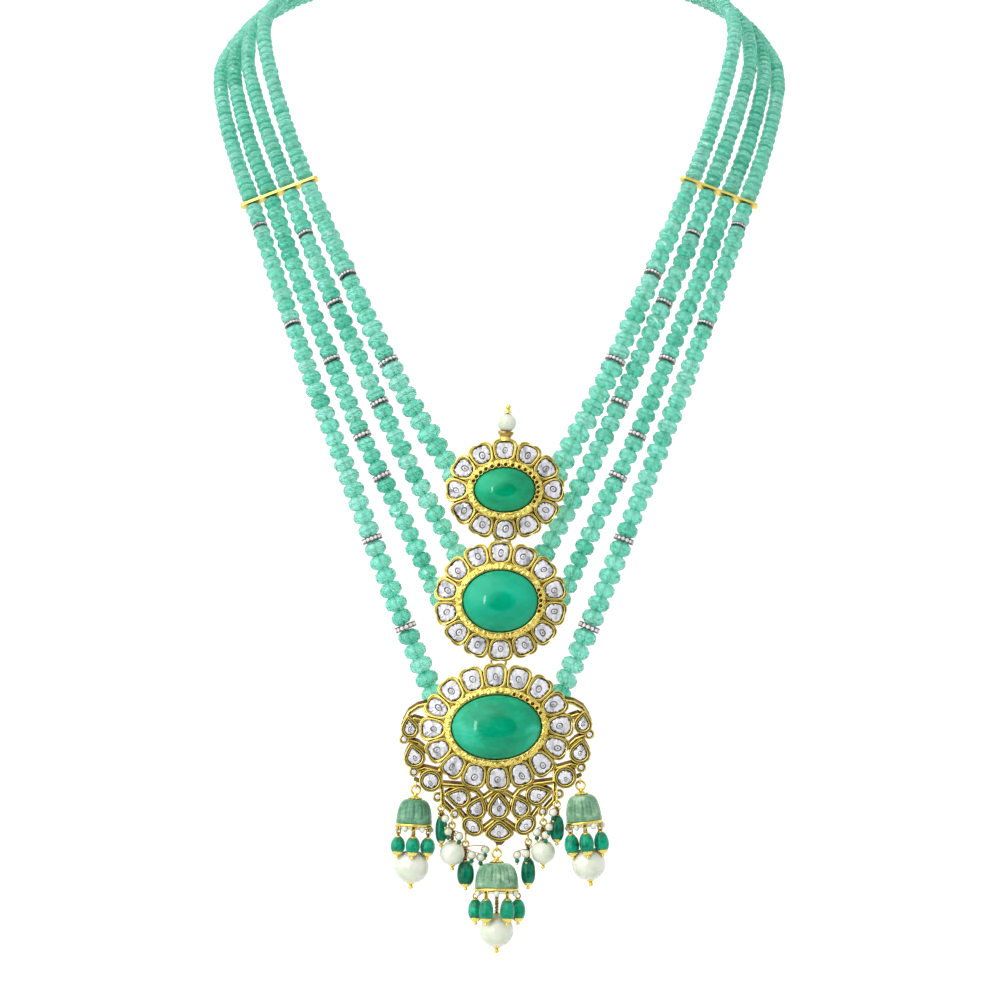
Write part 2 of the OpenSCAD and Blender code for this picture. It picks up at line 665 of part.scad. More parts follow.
// Spacer bar across the four strands, drilled where they pass
module spacer(side) {
    across = unit(spacer_outer - spacer_inner);
    down = unit(cross(cross(across, front_a[1] - front_a[0]), across));
    lie = cross(down, across);
    length = norm(spacer_outer - spacer_inner);
    color(gold)
        mirror([side < 0 ? 1 : 0, 0, 0])
            multmatrix([[across[0], lie[0], down[0], spacer_inner[0]],
                [across[1], lie[1], down[1], spacer_inner[1]],
                [across[2], lie[2], down[2], spacer_inner[2]]])
                difference() {
                    translate([0, 0, -spacer_t / 2])
                        linear_extrude(spacer_t)
                            bar([-2.2, 0], [length + 2.2, 0], 3);
                    for (k = [0:3])
                        translate([k * length / 3, 0, -2]) cylinder(d = bead_bore, h = 4, $fn = 24);
                }
}

function front_route(route, side, m, steps) = even(smooth(front(route, side, m[X])), steps, 0, 0);

module bead_string(route, side, m, runs, end_d, steps) {
    color(bead_green) along_string(front_route(route, side, m, steps), runs, end_d, 0);
}

module rondelles(side) {
    color(steel)
        along_string(front_route(front_a, side, top_m, 9), runs_a, end_d_a, 1);
}

module thread(route, side, m, steps) {
    line = front_route(route, side, m, steps);
    n = len(line) - 1;
    run_out = concat([for (i = [0:n - 1]) line[i]], [line[n] + 0.9 * unit(line[n] - line[n - 1])]);
    color(silk) swept(run_out, [for (p = run_out) thread_d / 2]);
}

module front_tube(route, side, m, end_d, steps) {
    line = even(smooth(front(route, side, m[X])), steps, spacer_t / 2 + end_gap, end_gap);
    color(bead_green)
        swept(line, [for (i = [0:steps]) mix(first_bead_d, end_d, i / steps) / 2], 10);
}

module neck_tube(route, side, steps) {
    line = even(smooth(neck(route, side)), steps, 2, spacer_t / 2 + neck_gap);
    color(bead_green)
        swept(line, [for (i = [0:steps]) mix(neck_bead_d, first_bead_d, pow(i / steps, 6)) / 2]);
}

// Plain clasp at the nape
module clasp() {
    color(gold)
        translate([-4.6, nape_y - 2.6, nape_z - 4.4])
            cube([9.2, 3 * strand_step + 5.2, 5.4]);
}

top_setting();
middle_setting();
bottom_setting();
color(polki) on_face(top_m) petal_stones(top_m);  // top_polki
color(polki) on_face(middle_m) petal_stones(middle_m);  // middle_polki
color(polki) on_face(bottom_m, pendant_turn) petal_stones(bottom_m);  // bottom_polki
crescent_polki();
on_face(top_m) cabochon(top_m);  // top_cabochon
on_face(middle_m) cabochon(middle_m);  // middle_cabochon
on_face(bottom_m, pendant_turn) cabochon(bottom_m);  // bottom_cabochon
finial_pearl();
link(top_m, middle_m, upper_gap);  // upper_link
link(middle_m, bottom_m, lower_gap);  // lower_link
spacer(-1);  // left_spacer
spacer(1);  // right_spacer
clasp();
bead_string(front_a, -1, top_m, runs_a, end_d_a, 9);  // left_strand_a_beads
thread(front_a, -1, top_m, 9);  // left_strand_a_thread
rondelles(-1);  // left_rondelles
front_tube(front_b, -1, middle_m, end_d_b, 9);  // left_strand_b
front_tube(front_c, -1, middle_m, end_d_c, 10);  // left_strand_c
front_tube(front_d, -1, bottom_m, end_d_d, 13);  // left_strand_d
neck_tube(neck_a, -1, 16);  // left_neck_a
neck_tube(neck_b, -1, 16);  // left_neck_b
neck_tube(neck_c, -1, 16);  // left_neck_c
neck_tube(neck_d, -1, 16);  // left_neck_d
bead_string(front_a, 1, top_m, runs_a, end_d_a, 9);  // right_strand_a_beads
thread(front_a, 1, top_m, 9);  // right_strand_a_thread
rondelles(1);  // right_rondelles
front_tube(front_b, 1, middle_m, end_d_b, 9);  // right_strand_b
front_tube(front_c, 1, middle_m, end_d_c, 10);  // right_strand_c
front_tube(front_d, 1, bottom_m, end_d_d, 13);  // right_strand_d
neck_tube(neck_a, 1, 16);  // right_neck_a
neck_tube(neck_b, 1, 16);  // right_neck_b
neck_tube(neck_c, 1, 16);  // right_neck_c
neck_tube(neck_d, 1, 16);  // right_neck_d
bell_gold(bell_left);  // left_bell_gold
bell_dome(bell_left);  // left_bell_dome
bell_drops(bell_left);  // left_bell_drops
bell_pearl(bell_left);  // left_bell_pearl
bell_gold(bell_centre);  // centre_bell_gold
bell_dome(bell_centre);  // centre_bell_dome
bell_drops(bell_centre);  // centre_bell_drops
bell_pearl(bell_centre);  // centre_bell_pearl
bell_gold(bell_right);  // right_bell_gold
bell_dome(bell_right);  // right_bell_dome
bell_drops(bell_right);  // right_bell_drops
bell_pearl(bell_right);  // right_bell_pearl
drop_wires(left_drops);  // left_drop_wires
drop_stones(left_drops);  // left_drop_stones
drop_wires(right_drops);  // right_drop_wires
drop_stones(right_drops);  // right_drop_stones
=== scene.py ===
import bpy, bmesh
from math import sin, cos, pi, radians, atan2, hypot
from random import Random
from mathutils import Vector, Matrix, noise


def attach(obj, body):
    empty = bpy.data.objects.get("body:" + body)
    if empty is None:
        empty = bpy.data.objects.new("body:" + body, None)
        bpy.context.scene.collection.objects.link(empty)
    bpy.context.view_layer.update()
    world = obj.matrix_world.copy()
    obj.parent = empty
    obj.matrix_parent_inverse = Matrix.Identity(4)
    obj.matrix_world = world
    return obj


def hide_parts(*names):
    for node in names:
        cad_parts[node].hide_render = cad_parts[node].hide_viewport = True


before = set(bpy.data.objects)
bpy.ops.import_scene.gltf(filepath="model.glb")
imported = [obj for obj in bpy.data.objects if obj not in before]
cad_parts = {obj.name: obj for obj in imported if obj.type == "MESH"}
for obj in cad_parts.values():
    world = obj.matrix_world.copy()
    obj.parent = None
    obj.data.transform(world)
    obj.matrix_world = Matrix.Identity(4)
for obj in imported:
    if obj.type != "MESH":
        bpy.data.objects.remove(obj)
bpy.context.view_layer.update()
print("necklace frame loaded,", len(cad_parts), "nodes")

# every mesh below is worked in millimetres and made metres in finishPiece
rng = Random(41)
faceY = -79.4        # back of the medallions
strandY = faceY + 4.2
# each medallion's middle, its cabochon's half sizes and rise, its petals, collet and the size of the stone's
# darker middle, a painted reflection of the tent's dark front
medallions = {
    "top": {"x": 1.7, "z": -140.3, "wide": 9.1, "high": 6.6, "rise": 4.2, "paintedDarkMiddle": 0.32, "petals": 12,
            "reach": 6.6, "turn": 0, "teeth": 34, "pits": (-35, 165), "low": 0.0},
    "middle": {"x": 0.4, "z": -173.7, "wide": 11.2, "high": 9.2, "rise": 5, "paintedDarkMiddle": 0.28, "petals": 14,
               "reach": 6.7, "turn": 0, "teeth": 40, "pits": (-22, 24), "low": 0.0},
    "bottom": {"x": -0.8, "z": -211.5, "wide": 13.4, "high": 9.6, "rise": 5.2, "paintedDarkMiddle": 0.42, "petals": 16,
               "reach": 7.5, "turn": 1.5, "teeth": 46, "pits": (18, 72), "low": 0.2}}

# small helpers


def along(a, b, t):
    return a + (b - a) * t


def shift(x, y, z):
    return Matrix.Translation((x, y, z))


def vary(i, k):
    # the same small differences from petal to petal and from bead to bead as in the source
    return sin(radians(i * 137 + k * 71))


def setInputs(node, values):
    for name, value in values.items():
        node.inputs[name].default_value = value


def finishPiece(name, bm, finishes, body, smooth=False, recalc=True):
    bmesh.ops.remove_doubles(bm, verts=bm.verts, dist=0.0005)
    if recalc:
        bmesh.ops.recalc_face_normals(bm, faces=bm.faces)
    bmesh.ops.scale(bm, vec=(0.001,) * 3, verts=bm.verts)
    mesh = bpy.data.meshes.new(name)
    bm.to_mesh(mesh)
    bm.free()
    for finish in finishes:
        mesh.materials.append(finish)
    if smooth:
        mesh.shade_smooth()
    piece = bpy.data.objects.new(name, mesh)
    bpy.context.scene.collection.objects.link(piece)
    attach(piece, body)
    print("made", name, len(mesh.polygons), "faces")
    return piece


def stampMesh(bm, mesh, matrix, finish=None):
    # puts a copy of a small mesh into a bigger one and gives back its new corners
    cornersBefore, facesBefore = len(bm.verts), len(bm.faces)
    bm.from_mesh(mesh)
    bm.verts.ensure_lookup_table()
    corners = bm.verts[cornersBefore:]
    bmesh.ops.transform(bm, matrix=matrix, verts=corners)
    if finish is not None:
        bm.faces.ensure_lookup_table()
        for face in bm.faces[facesBefore:]:
            face.material_index = finish
    return corners


def templateMesh(name, bm):
    bmesh.ops.recalc_face_normals(bm, faces=bm.faces)
    mesh = bpy.data.meshes.new(name)
    bm.to_mesh(mesh)
    bm.free()
    return mesh


def turnedMesh(name, profile, steps=32, carve=None, looped=False):
    # turns a profile of radius and height round Z; carve may move each corner
    bm = bmesh.new()
    corners = [bm.verts.new((r, 0, z)) for r, z in profile]
    pairs = list(zip(corners, corners[1:])) + ([(corners[-1], corners[0])] if looped else [])
    edges = [bm.edges.new(pair) for pair in pairs]
    bmesh.ops.spin(bm, geom=corners + edges, cent=(0, 0, 0), axis=(0, 0, 1), angle=2 * pi,
                   steps=steps, use_merge=True)
    bmesh.ops.remove_doubles(bm, verts=bm.verts, dist=0.0005)
    if carve:
        for v in bm.verts:
            v.co = carve(v.co)
    for face in bm.faces:
        face.smooth = True
    return templateMesh(name, bm)


def ringMesh(name, radius, wire, steps=28, sides=10):
    turns = [2 * pi * k / sides for k in range(sides)]
    loop = [(radius + wire / 2 * cos(turn), wire / 2 * sin(turn)) for turn in turns]
    return turnedMesh(name, loop, steps, looped=True)


def ballMesh(name, radius, around=20, rows=12):
    bm = bmesh.new()
    bmesh.ops.create_uvsphere(bm, u_segments=around, v_segments=rows, radius=radius)
    for face in bm.faces:
        face.smooth = True
    return templateMesh(name, bm)


def outlineFace(bm, outline, matrix):
    corners = [bm.verts.new(matrix @ Vector((p[0], p[1], 0))) for p in outline]
    return bm.faces.new(corners)


def outlineLoop(bm, points):
    corners = [bm.verts.new(p) for p in points]
    return [bm.edges.new((corners[i - 1], corners[i])) for i in range(len(corners))]


def loft(bm, rings, finishes, up, smooth=True, closed=False):
    # skins a row of outlines, one finish to each band; up is the way that its crest faces
    loops, bands = [outlineLoop(bm, ring) for ring in rings], []
    for low, high, finish in zip(loops, loops[1:], finishes):
        band = bmesh.ops.bridge_loops(bm, edges=low + high)["faces"]
        for face in band:
            face.material_index = finish
        bands.append(band)
    if closed:
        bands.append(bmesh.ops.holes_fill(bm, edges=loops[-1])["faces"])
    skin = [face for band in bands for face in band]
    bmesh.ops.recalc_face_normals(bm, faces=skin)
    if sum(face.normal.dot(up) * face.calc_area() for face in skin) < 0:
        bmesh.ops.reverse_faces(bm, faces=skin)
    for face in skin:
        face.smooth = smooth
    return bands


def reachesOf(outline, middle, count):
    # distances from a middle to an outline at even angles
    reaches = []
    for k in range(count):
        way, far = Vector((cos(2 * pi * k / count), sin(2 * pi * k / count))), 0.0
        for i, q in enumerate(outline):
            p, edge = Vector(outline[i - 1]) - middle, Vector(q) - Vector(outline[i - 1])
            across = way.cross(edge)
            if abs(across) > 0.000001 and -0.0001 <= p.cross(way) / across <= 1.0001:
                far = max(far, p.cross(edge) / across)
        reaches.append(far)
    return reaches


def insetSteps(bm, face, steps, finish=0):
    # steps of width and height, both in millimetres, from the outline inwards
    for width, height in steps:
        ring = bmesh.ops.inset_region(bm, faces=[face], thickness=width, depth=height,
                                      use_even_offset=True, use_boundary=True)["faces"]
        for part in ring:
            part.material_index = finish
            part.smooth = True
    return face


# camera and light

view = {"distance": 3.0, "height": -0.1431, "across": 0.2994, "plane": -0.081, "side": -0.00006}
lens = bpy.data.cameras.new("longLens")
lens.sensor_width = 36
lens.lens = 36 * view["distance"] / view["across"]
lens.clip_end = 30
camera = bpy.data.objects.new("camera", lens)
camera.location = (view["side"], view["plane"] - view["distance"], view["height"])
camera.rotation_euler = (radians(90), 0, 0)
bpy.context.scene.collection.objects.link(camera)
bpy.context.scene.camera = camera

tent = {"openingDark": 0.03, "openingEdge": 0.915, "openingCore": 0.935, "belowDark": 0.85, "walls": 0.77,
        "key": (-0.62, -0.56, 0.55), "keyEdge": 0.55, "keyCore": 0.99, "keyPower": 1.5, "back": 1.5}


def softStep(nodes, links, value, source, target):
    # smooth step from one pair of numbers to another
    step = nodes.new("ShaderNodeMapRange")
    step.interpolation_type = "SMOOTHSTEP"
    setInputs(step, dict(zip(("From Min", "From Max", "To Min", "To Max"), (*source, *target))))
    links.new(value, step.inputs["Value"])
    return step.outputs[0]


def joined(nodes, links, operation, first, second):
    step = nodes.new("ShaderNodeMath")
    step.operation = operation
    links.new(first, step.inputs[0])
    links.new(second, step.inputs[1])
    return step.outputs[0]


def lightTent():
    world = bpy.data.worlds.new("lightTent")
    bpy.context.scene.world = world
    world.use_nodes = True
    nodes, links = world.node_tree.nodes, world.node_tree.links
    nodes.clear()
    direction = nodes.new("ShaderNodeTexCoord")
    parts = nodes.new("ShaderNodeSeparateXYZ")
    links.new(direction.outputs["Generated"], parts.inputs[0])
    # the tent's front is open and darker, less light comes from the table, and the paper behind is lit
    opening = softStep(nodes, links, parts.outputs["Y"], (-tent["openingCore"], -tent["openingEdge"]),
                       (tent["openingDark"], tent["walls"]))
    below = softStep(nodes, links, parts.outputs["Z"], (-0.9, 0.1), (tent["belowDark"], 1))
    behind = softStep(nodes, links, parts.outputs["Y"], (0.1, 0.8), (1, tent["back"]))
    toKey = nodes.new("ShaderNodeVectorMath")      # one wide soft key from the upper left
    toKey.operation = "DOT_PRODUCT"
    toKey.inputs[1].default_value = Vector(tent["key"]).normalized()
    links.new(direction.outputs["Generated"], toKey.inputs[0])
    edges = (tent["keyEdge"], tent["keyCore"])
    key = softStep(nodes, links, toKey.outputs["Value"], edges, (0, tent["keyPower"]))
    light = joined(nodes, links, "ADD", key, opening)
    for factor in (below, behind):
        light = joined(nodes, links, "MULTIPLY", light, factor)
    # the paper behind the necklace stays plain white
    ray = nodes.new("ShaderNodeLightPath")
    shown = joined(nodes, links, "MAXIMUM", light, ray.outputs["Is Camera Ray"])
    background = nodes.new("ShaderNodeBackground")
    links.new(shown, background.inputs["Color"])
    output = nodes.new("ShaderNodeOutputWorld")
    links.new(background.outputs[0], output.inputs["Surface"])


def softLight(name, place, target, size, power):
    data = bpy.data.lights.new(name, "AREA")
    data.shape = "RECTANGLE"
    data.size, data.size_y = size
    data.energy = power
    lamp = bpy.data.objects.new(name, data)
    lamp.location = place
    lamp.rotation_euler = (Vector(target) - Vector(place)).to_track_quat("-Z", "Y").to_euler()
    bpy.context.scene.collection.objects.link(lamp)


lightTent()
softLight("leftStrip", (-0.72, -1.63, -0.08), (0, -0.08, -0.18), (0.1, 0.6), 2)

floorMesh = bpy.data.meshes.new("paleTable")
bm = bmesh.new()
bmesh.ops.create_grid(bm, x_segments=1, y_segments=1, size=1.2, matrix=shift(0, 0.9, -0.42))
bm.to_mesh(floorMesh)
bm.free()
paleTable = bpy.data.objects.new("paleTable", floorMesh)
bpy.context.scene.collection.objects.link(paleTable)

bpy.context.scene.view_settings.view_transform = "Standard"
print("camera and light tent ready")

# finishes


def startFinish(name):
    mat = bpy.data.materials.new(name)
    mat.use_nodes = True
    nodes = mat.node_tree.nodes
    return mat, nodes, mat.node_tree.links, nodes["Principled BSDF"]


def noiseOn(nodes, links, scale, detail=3.0, roughness=0.55, stretch=None):
    place = nodes.new("ShaderNodeTexCoord")
    grain = nodes.new("ShaderNodeTexNoise")
    setInputs(grain, {"Scale": scale, "Detail": detail, "Roughness": roughness})
    if stretch:
        mapping = nodes.new("ShaderNodeMapping")
        mapping.inputs["Scale"].default_value = stretch
        links.new(place.outputs["Object"], mapping.inputs["Vector"])
        links.new(mapping.outputs[0], grain.inputs["Vector"])
    else:
        links.new(place.outputs["Object"], grain.inputs["Vector"])
    return grain.outputs["Fac"]


def cellsOn(nodes, links, scale, feature="F1"):
    place = nodes.new("ShaderNodeTexCoord")
    cells = nodes.new("ShaderNodeTexVoronoi")
    cells.feature = feature
    cells.inputs["Scale"].default_value = scale
    links.new(place.outputs["Object"], cells.inputs["Vector"])
    return cells.outputs["Distance"]


def rampOf(nodes, links, value, stops):
    ramp = nodes.new("ShaderNodeValToRGB")
    links.new(value, ramp.inputs["Fac"])
    while len(ramp.color_ramp.elements) < len(stops):
        ramp.color_ramp.elements.new(0.5)
    for element, (position, colour) in zip(ramp.color_ramp.elements, stops):
        element.position = position
        element.color = (*colour, 1)
    return ramp.outputs["Color"]


def mixColours(nodes, links, factor, first, second, kind="MIX"):
    mix = nodes.new("ShaderNodeMix")
    mix.data_type = "RGBA"
    mix.blend_type = kind
    if isinstance(factor, float):
        mix.inputs["Factor"].default_value = factor
    else:
        links.new(factor, mix.inputs["Factor"])
    for socket, colour in ((mix.inputs[6], first), (mix.inputs[7], second)):
        if isinstance(colour, tuple):
            socket.default_value = (*colour, 1)
        else:
            links.new(colour, socket)
    return mix.outputs[2]


def bumpFrom(nodes, links, shader, height, strength, distance, under=None):
    bump = nodes.new("ShaderNodeBump")
    setInputs(bump, {"Strength": strength, "Distance": distance})
    links.new(height, bump.inputs["Height"])
    if under:
        links.new(under, bump.inputs["Normal"])
    if shader:
        links.new(bump.outputs[0], shader.inputs["Normal"])
    return bump.outputs[0]


def goldFinish(name, bright, deep, hammer, roughness, relief):
    mat, nodes, links, shader = startFinish(name)
    tone = noiseOn(nodes, links, 420, 4)
    surface = rampOf(nodes, links, tone, [(0.3, deep), (0.62, bright)])
    paintedCornerShade = nodes.new("ShaderNodeAmbientOcclusion")      # painted shade: the gold turns dark brown in corners and recesses that ambient occlusion finds
    paintedCornerShade.samples = 6
    paintedCornerShade.inputs["Distance"].default_value = 0.0016
    shade = nodes.new("ShaderNodeMapRange")
    setInputs(shade, {"From Min": 0.25, "From Max": 0.78})
    links.new(paintedCornerShade.outputs["AO"], shade.inputs["Value"])
    # dark brown painted shade mixed over the gold's own tone where it is occluded
    paintedShadeColour = mixColours(nodes, links, shade.outputs[0], (0.20, 0.085, 0.012), surface)
    links.new(paintedShadeColour, shader.inputs["Base Color"])
    shader.inputs["Metallic"].default_value = 1.0
    wear = nodes.new("ShaderNodeMapRange")
    setInputs(wear, {"To Min": roughness - 0.07, "To Max": roughness + 0.12})
    links.new(noiseOn(nodes, links, 900, 2), wear.inputs["Value"])
    links.new(wear.outputs[0], shader.inputs["Roughness"])
    fine = bumpFrom(nodes, links, None, noiseOn(nodes, links, 1600, 3), 0.5 * relief, 0.00005)
    bumpFrom(nodes, links, shader, cellsOn(nodes, links, hammer), relief, 0.00012, fine)
    return mat


def polkiFinish(name, scale, shades):
    mat, nodes, links, shader = startFinish(name)
    streaks = noiseOn(nodes, links, scale, 5, 0.7, (1, 1, 0.45))
    stops = [(at, (grey, grey, grey * 1.05)) for at, grey in zip((0.36, 0.46, 0.55, 0.68), shades)]
    links.new(rampOf(nodes, links, streaks, stops), shader.inputs["Base Color"])
    setInputs(shader, {"Metallic": 0.15, "Roughness": 0.16, "Coat Weight": 0.6, "Coat Roughness": 0.03})
    bumpFrom(nodes, links, shader, noiseOn(nodes, links, 700, 3), 0.35, 0.00008)
    return mat


def foilFinish(name, dark, bright, roughness):
    mat, nodes, links, shader = startFinish(name)
    links.new(rampOf(nodes, links, noiseOn(nodes, links, 900, 4), [(0.38, dark), (0.62, bright)]),
              shader.inputs["Base Color"])
    setInputs(shader, {"Metallic": 0.7, "Roughness": roughness})
    bumpFrom(nodes, links, shader, noiseOn(nodes, links, 1500, 2), 0.4, 0.00005)
    return mat


def stoneFinish(name, colours, depth, inclusion, gloss=0.06, paintedDarkMiddle=None):
    # smooth green stone: cloudy veils inside, a wet polish on top, and on a medallion a darker middle painted
    # as the reflection of the tent's dark front
    mat, nodes, links, shader = startFinish(name)
    clouds = noiseOn(nodes, links, inclusion, 5, 0.6, (1, 1, 1.6))
    body = rampOf(nodes, links, clouds, [(0.32, colours[0]), (0.5, colours[1]), (0.68, colours[2])])
    veins = noiseOn(nodes, links, inclusion * 3.4, 6, 0.75, (1, 1, 0.5))
    veil = rampOf(nodes, links, veins, [(0.60, (0, 0, 0)), (0.72, (1, 1, 1))])
    surface = mixColours(nodes, links, veil, body, colours[2])
    if paintedDarkMiddle:      # a medallion, whose middle is darkened: a painted reflection of the dark front opening
        wide, high, edge = paintedDarkMiddle["wide"], paintedDarkMiddle["high"], paintedDarkMiddle["paintedDarkMiddle"]
        place, off = nodes.new("ShaderNodeTexCoord"), nodes.new("ShaderNodeMapping")
        setInputs(off, {"Scale": (1000 / wide, 0, 1000 / high),
                        "Location": (-paintedDarkMiddle["x"] / wide, 0, -paintedDarkMiddle["z"] / high)})
        links.new(place.outputs["Object"], off.inputs["Vector"])
        reach = nodes.new("ShaderNodeVectorMath")
        reach.operation = "LENGTH"
        links.new(off.outputs[0], reach.inputs[0])
        deep = rampOf(nodes, links, reach.outputs["Value"],
                      [(edge, (0.6, 0.89, 0.86)), (edge + 0.06, (1, 1, 1))])
        surface = mixColours(nodes, links, 1.0, surface, deep, "MULTIPLY")
    links.new(surface, shader.inputs["Base Color"])
    setInputs(shader, {"Roughness": gloss, "IOR": 1.57, "Specular IOR Level": 0.25,
                       "Subsurface Weight": 0.35, "Subsurface Radius": (0.2, 1.0, 0.6),
                       "Subsurface Scale": depth})
    bumpFrom(nodes, links, shader, noiseOn(nodes, links, 260, 2), 0.06, 0.0002)
    return mat


def beadFinish():
    mat, nodes, links, shader = startFinish("mintEmerald")
    tone = nodes.new("ShaderNodeAttribute")
    tone.attribute_name = "tone"
    clouds = rampOf(nodes, links, noiseOn(nodes, links, 480, 5, 0.65),
                    [(0.32, (0.62, 0.70, 0.66)), (0.55, (1, 1, 1)), (0.7, (1.25, 1.12, 1.16))])
    tinted = mixColours(nodes, links, 1.0, tone.outputs["Color"], clouds, "MULTIPLY")
    specks = rampOf(nodes, links, noiseOn(nodes, links, 1700, 3, 0.6),
                    [(0.64, (0, 0, 0)), (0.74, (0.5, 0.5, 0.5))])
    links.new(mixColours(nodes, links, specks, tinted, (0.85, 0.98, 0.92)), shader.inputs["Base Color"])
    setInputs(shader, {"Roughness": 0.1, "IOR": 1.57, "Transmission Weight": 0.6,
                       "Specular IOR Level": 0.4, "Subsurface Weight": 0.3,
                       "Subsurface Radius": (0.3, 1.0, 0.8), "Subsurface Scale": 0.002})
    bumpFrom(nodes, links, shader, noiseOn(nodes, links, 900, 2), 0.1, 0.00008)
    return mat


def pearlFinish():
    mat, nodes, links, shader = startFinish("greenishPearl")
    skin = rampOf(nodes, links, noiseOn(nodes, links, 150, 4),
                  [(0.3, (0.60, 0.72, 0.52)), (0.5, (0.77, 0.85, 0.70)), (0.72, (0.94, 0.95, 0.89))])
    links.new(skin, shader.inputs["Base Color"])
    setInputs(shader, {"Roughness": 0.24, "Subsurface Weight": 0.1, "Subsurface Radius": (1.0, 0.9, 0.7),
                       "Subsurface Scale": 0.0015, "Coat Weight": 0.7, "Coat Roughness": 0.12,
                       "Coat Tint": (1.0, 0.96, 0.97, 1)})
    bumpFrom(nodes, links, shader, noiseOn(nodes, links, 380, 3), 0.08, 0.0001)
    return mat


def threadFinish():
    mat, nodes, links, shader = startFinish("paleSilk")
    links.new(rampOf(nodes, links, noiseOn(nodes, links, 2500, 2),
                     [(0.35, (0.55, 0.47, 0.28)), (0.65, (0.84, 0.80, 0.64))]), shader.inputs["Base Color"])
    shader.inputs["Roughness"].default_value = 0.65
    bumpFrom(nodes, links, shader, noiseOn(nodes, links, 4000, 2), 0.5, 0.00005)
    return mat


def tableFinish():
    mat, nodes, links, shader = startFinish("palePaper")
    links.new(rampOf(nodes, links, noiseOn(nodes, links, 6, 2),
                     [(0.3, (0.80, 0.80, 0.80)), (0.7, (0.84, 0.84, 0.83))]), shader.inputs["Base Color"])
    shader.inputs["Roughness"].default_value = 0.8
    return mat


polishedGold = goldFinish("polishedGold", (1.0, 0.84, 0.24), (0.90, 0.68, 0.14), 700, 0.2, 0.14)
hammeredGold = goldFinish("hammeredGold", (1.0, 0.85, 0.25), (0.90, 0.68, 0.13), 1400, 0.22, 0.4)
# a darker, browner gold for the fine wires, links and the finial cup
brownerGold = goldFinish("brownerGold", (0.72, 0.52, 0.17), (0.34, 0.21, 0.05), 1200, 0.3, 0.4)
# dark brown gold for the crescent's side walls: painted shade of walls out of the light
paintedShadeWallGold = goldFinish("paintedShadeWallGold", (0.27, 0.14, 0.02), (0.13, 0.06, 0.01), 900, 0.4, 0.2)
# near-black gold for the floors of the collet's pits: painted shade of deep holes
paintedPitShadeGold = goldFinish("paintedPitShadeGold", (0.16, 0.09, 0.015), (0.05, 0.025, 0.005), 1200, 0.5, 0.3)
uncutDiamond = polkiFinish("uncutDiamond", 420, (0.34, 0.72, 0.90, 1.0))
cutDiamond = polkiFinish("cutDiamond", 1800, (0.35, 0.75, 0.95, 1.0))
darkFoil = foilFinish("darkFoil", (0.035, 0.035, 0.04), (0.24, 0.24, 0.25), 0.38)
greyFoil = foilFinish("greyFoil", (0.20, 0.20, 0.215), (0.60, 0.60, 0.62), 0.3)
blackSilver = foilFinish("blackSilver", (0.04, 0.035, 0.03), (0.34, 0.30, 0.27), 0.32)
mintEmerald = beadFinish()
topStone = stoneFinish("topStone", [(0.0, 0.26, 0.12), (0.0, 0.37, 0.17), (0.001, 0.47, 0.24)],
                       0.004, 90, 0.06, medallions["top"])
middleStone = stoneFinish("middleStone", [(0.0, 0.31, 0.16), (0.001, 0.41, 0.235), (0.006, 0.50, 0.31)],
                          0.005, 60, 0.06, medallions["middle"])
bottomStone = stoneFinish("bottomStone", [(0.0, 0.26, 0.125), (0.001, 0.40, 0.21), (0.05, 0.60, 0.39)],
                          0.005, 75, 0.06, medallions["bottom"])
brightDrop = stoneFinish("brightDrop", [(0.0, 0.14, 0.07), (0.0, 0.29, 0.155), (0.002, 0.45, 0.26)],
                         0.002, 260)
deepDrop = stoneFinish("deepDrop", [(0.0, 0.09, 0.045), (0.0, 0.17, 0.09), (0.001, 0.27, 0.16)],
                       0.0015, 260)
domeStone = stoneFinish("domeStone", [(0.05, 0.19, 0.10), (0.10, 0.29, 0.17), (0.26, 0.50, 0.33)],
                        0.003, 240, 0.16)
paleDome = stoneFinish("paleDome", [(0.09, 0.25, 0.14), (0.20, 0.39, 0.24), (0.44, 0.64, 0.45)],
                       0.003, 240, 0.16)
greenishPearl = pearlFinish()
paleSilk = threadFinish()
floorMesh.materials.append(tableFinish())
print("finishes ready")

# medallions: gold rims, hammered collets, polki and cabochons

setting = {"plate": 1.6, "petalTop": 2.4, "lean": 8, "collet": 1.9, "wall": 0.64, "around": 44, "girdle": 2.6}
# gold wall round a stone: how far in from the outer edge and how high, then how far out from the stone
rimOutside = [(0.0, -0.1), (0.03, 0.2), (0.11, 0.38), (0.26, 0.5)]
rimInside = [(0.34, 0.48), (0.16, 0.36), (0.05, 0.16), (0.0, -0.05), (0.0, -0.45)]


def faceMatrix(m):
    return (shift(m["x"], faceY, m["z"]) @ Matrix.Rotation(radians(90), 4, "X")
            @ Matrix.Rotation(radians(m["turn"]), 4, "Z"))


def ovalPoint(m, angle, out):
    a, b = m["wide"] + setting["collet"], m["high"] + setting["collet"]
    away = Vector((cos(angle) / a, sin(angle) / b)).normalized()
    return Vector((a * cos(angle), b * sin(angle))) + out * away


def roundedOutline(outline, times=2):
    # cuts the corners of an outline; a corner given twice stays sharp
    for step in range(times):
        cut = []
        for i, p in enumerate(outline):
            q = outline[(i + 1) % len(outline)]
            cut += [(along(p[0], q[0], t), along(p[1], q[1], t)) for t in (0.25, 0.75)]
        outline = [p for i, p in enumerate(cut) if hypot(p[0] - cut[i - 1][0], p[1] - cut[i - 1][1]) > 0.02]
    return outline


def grownOutline(outline, by):
    grown, count = [], len(outline)
    for i, p in enumerate(outline):
        before, after = Vector(outline[i - 1]), Vector(outline[(i + 1) % count])
        here = Vector(p)
        first, second = (here - before), (after - here)
        if first.length < 0.001 or second.length < 0.001:
            away = here.normalized()
            grown.append(tuple(here + away * by * 1.25))
            continue
        a, b = first.normalized(), second.normalized()
        out = Vector((a.y + b.y, -a.x - b.x)).normalized()
        grown.append(tuple(here + out * by / max(0.6, out.dot(Vector((a.y, -a.x))))))
    return grown


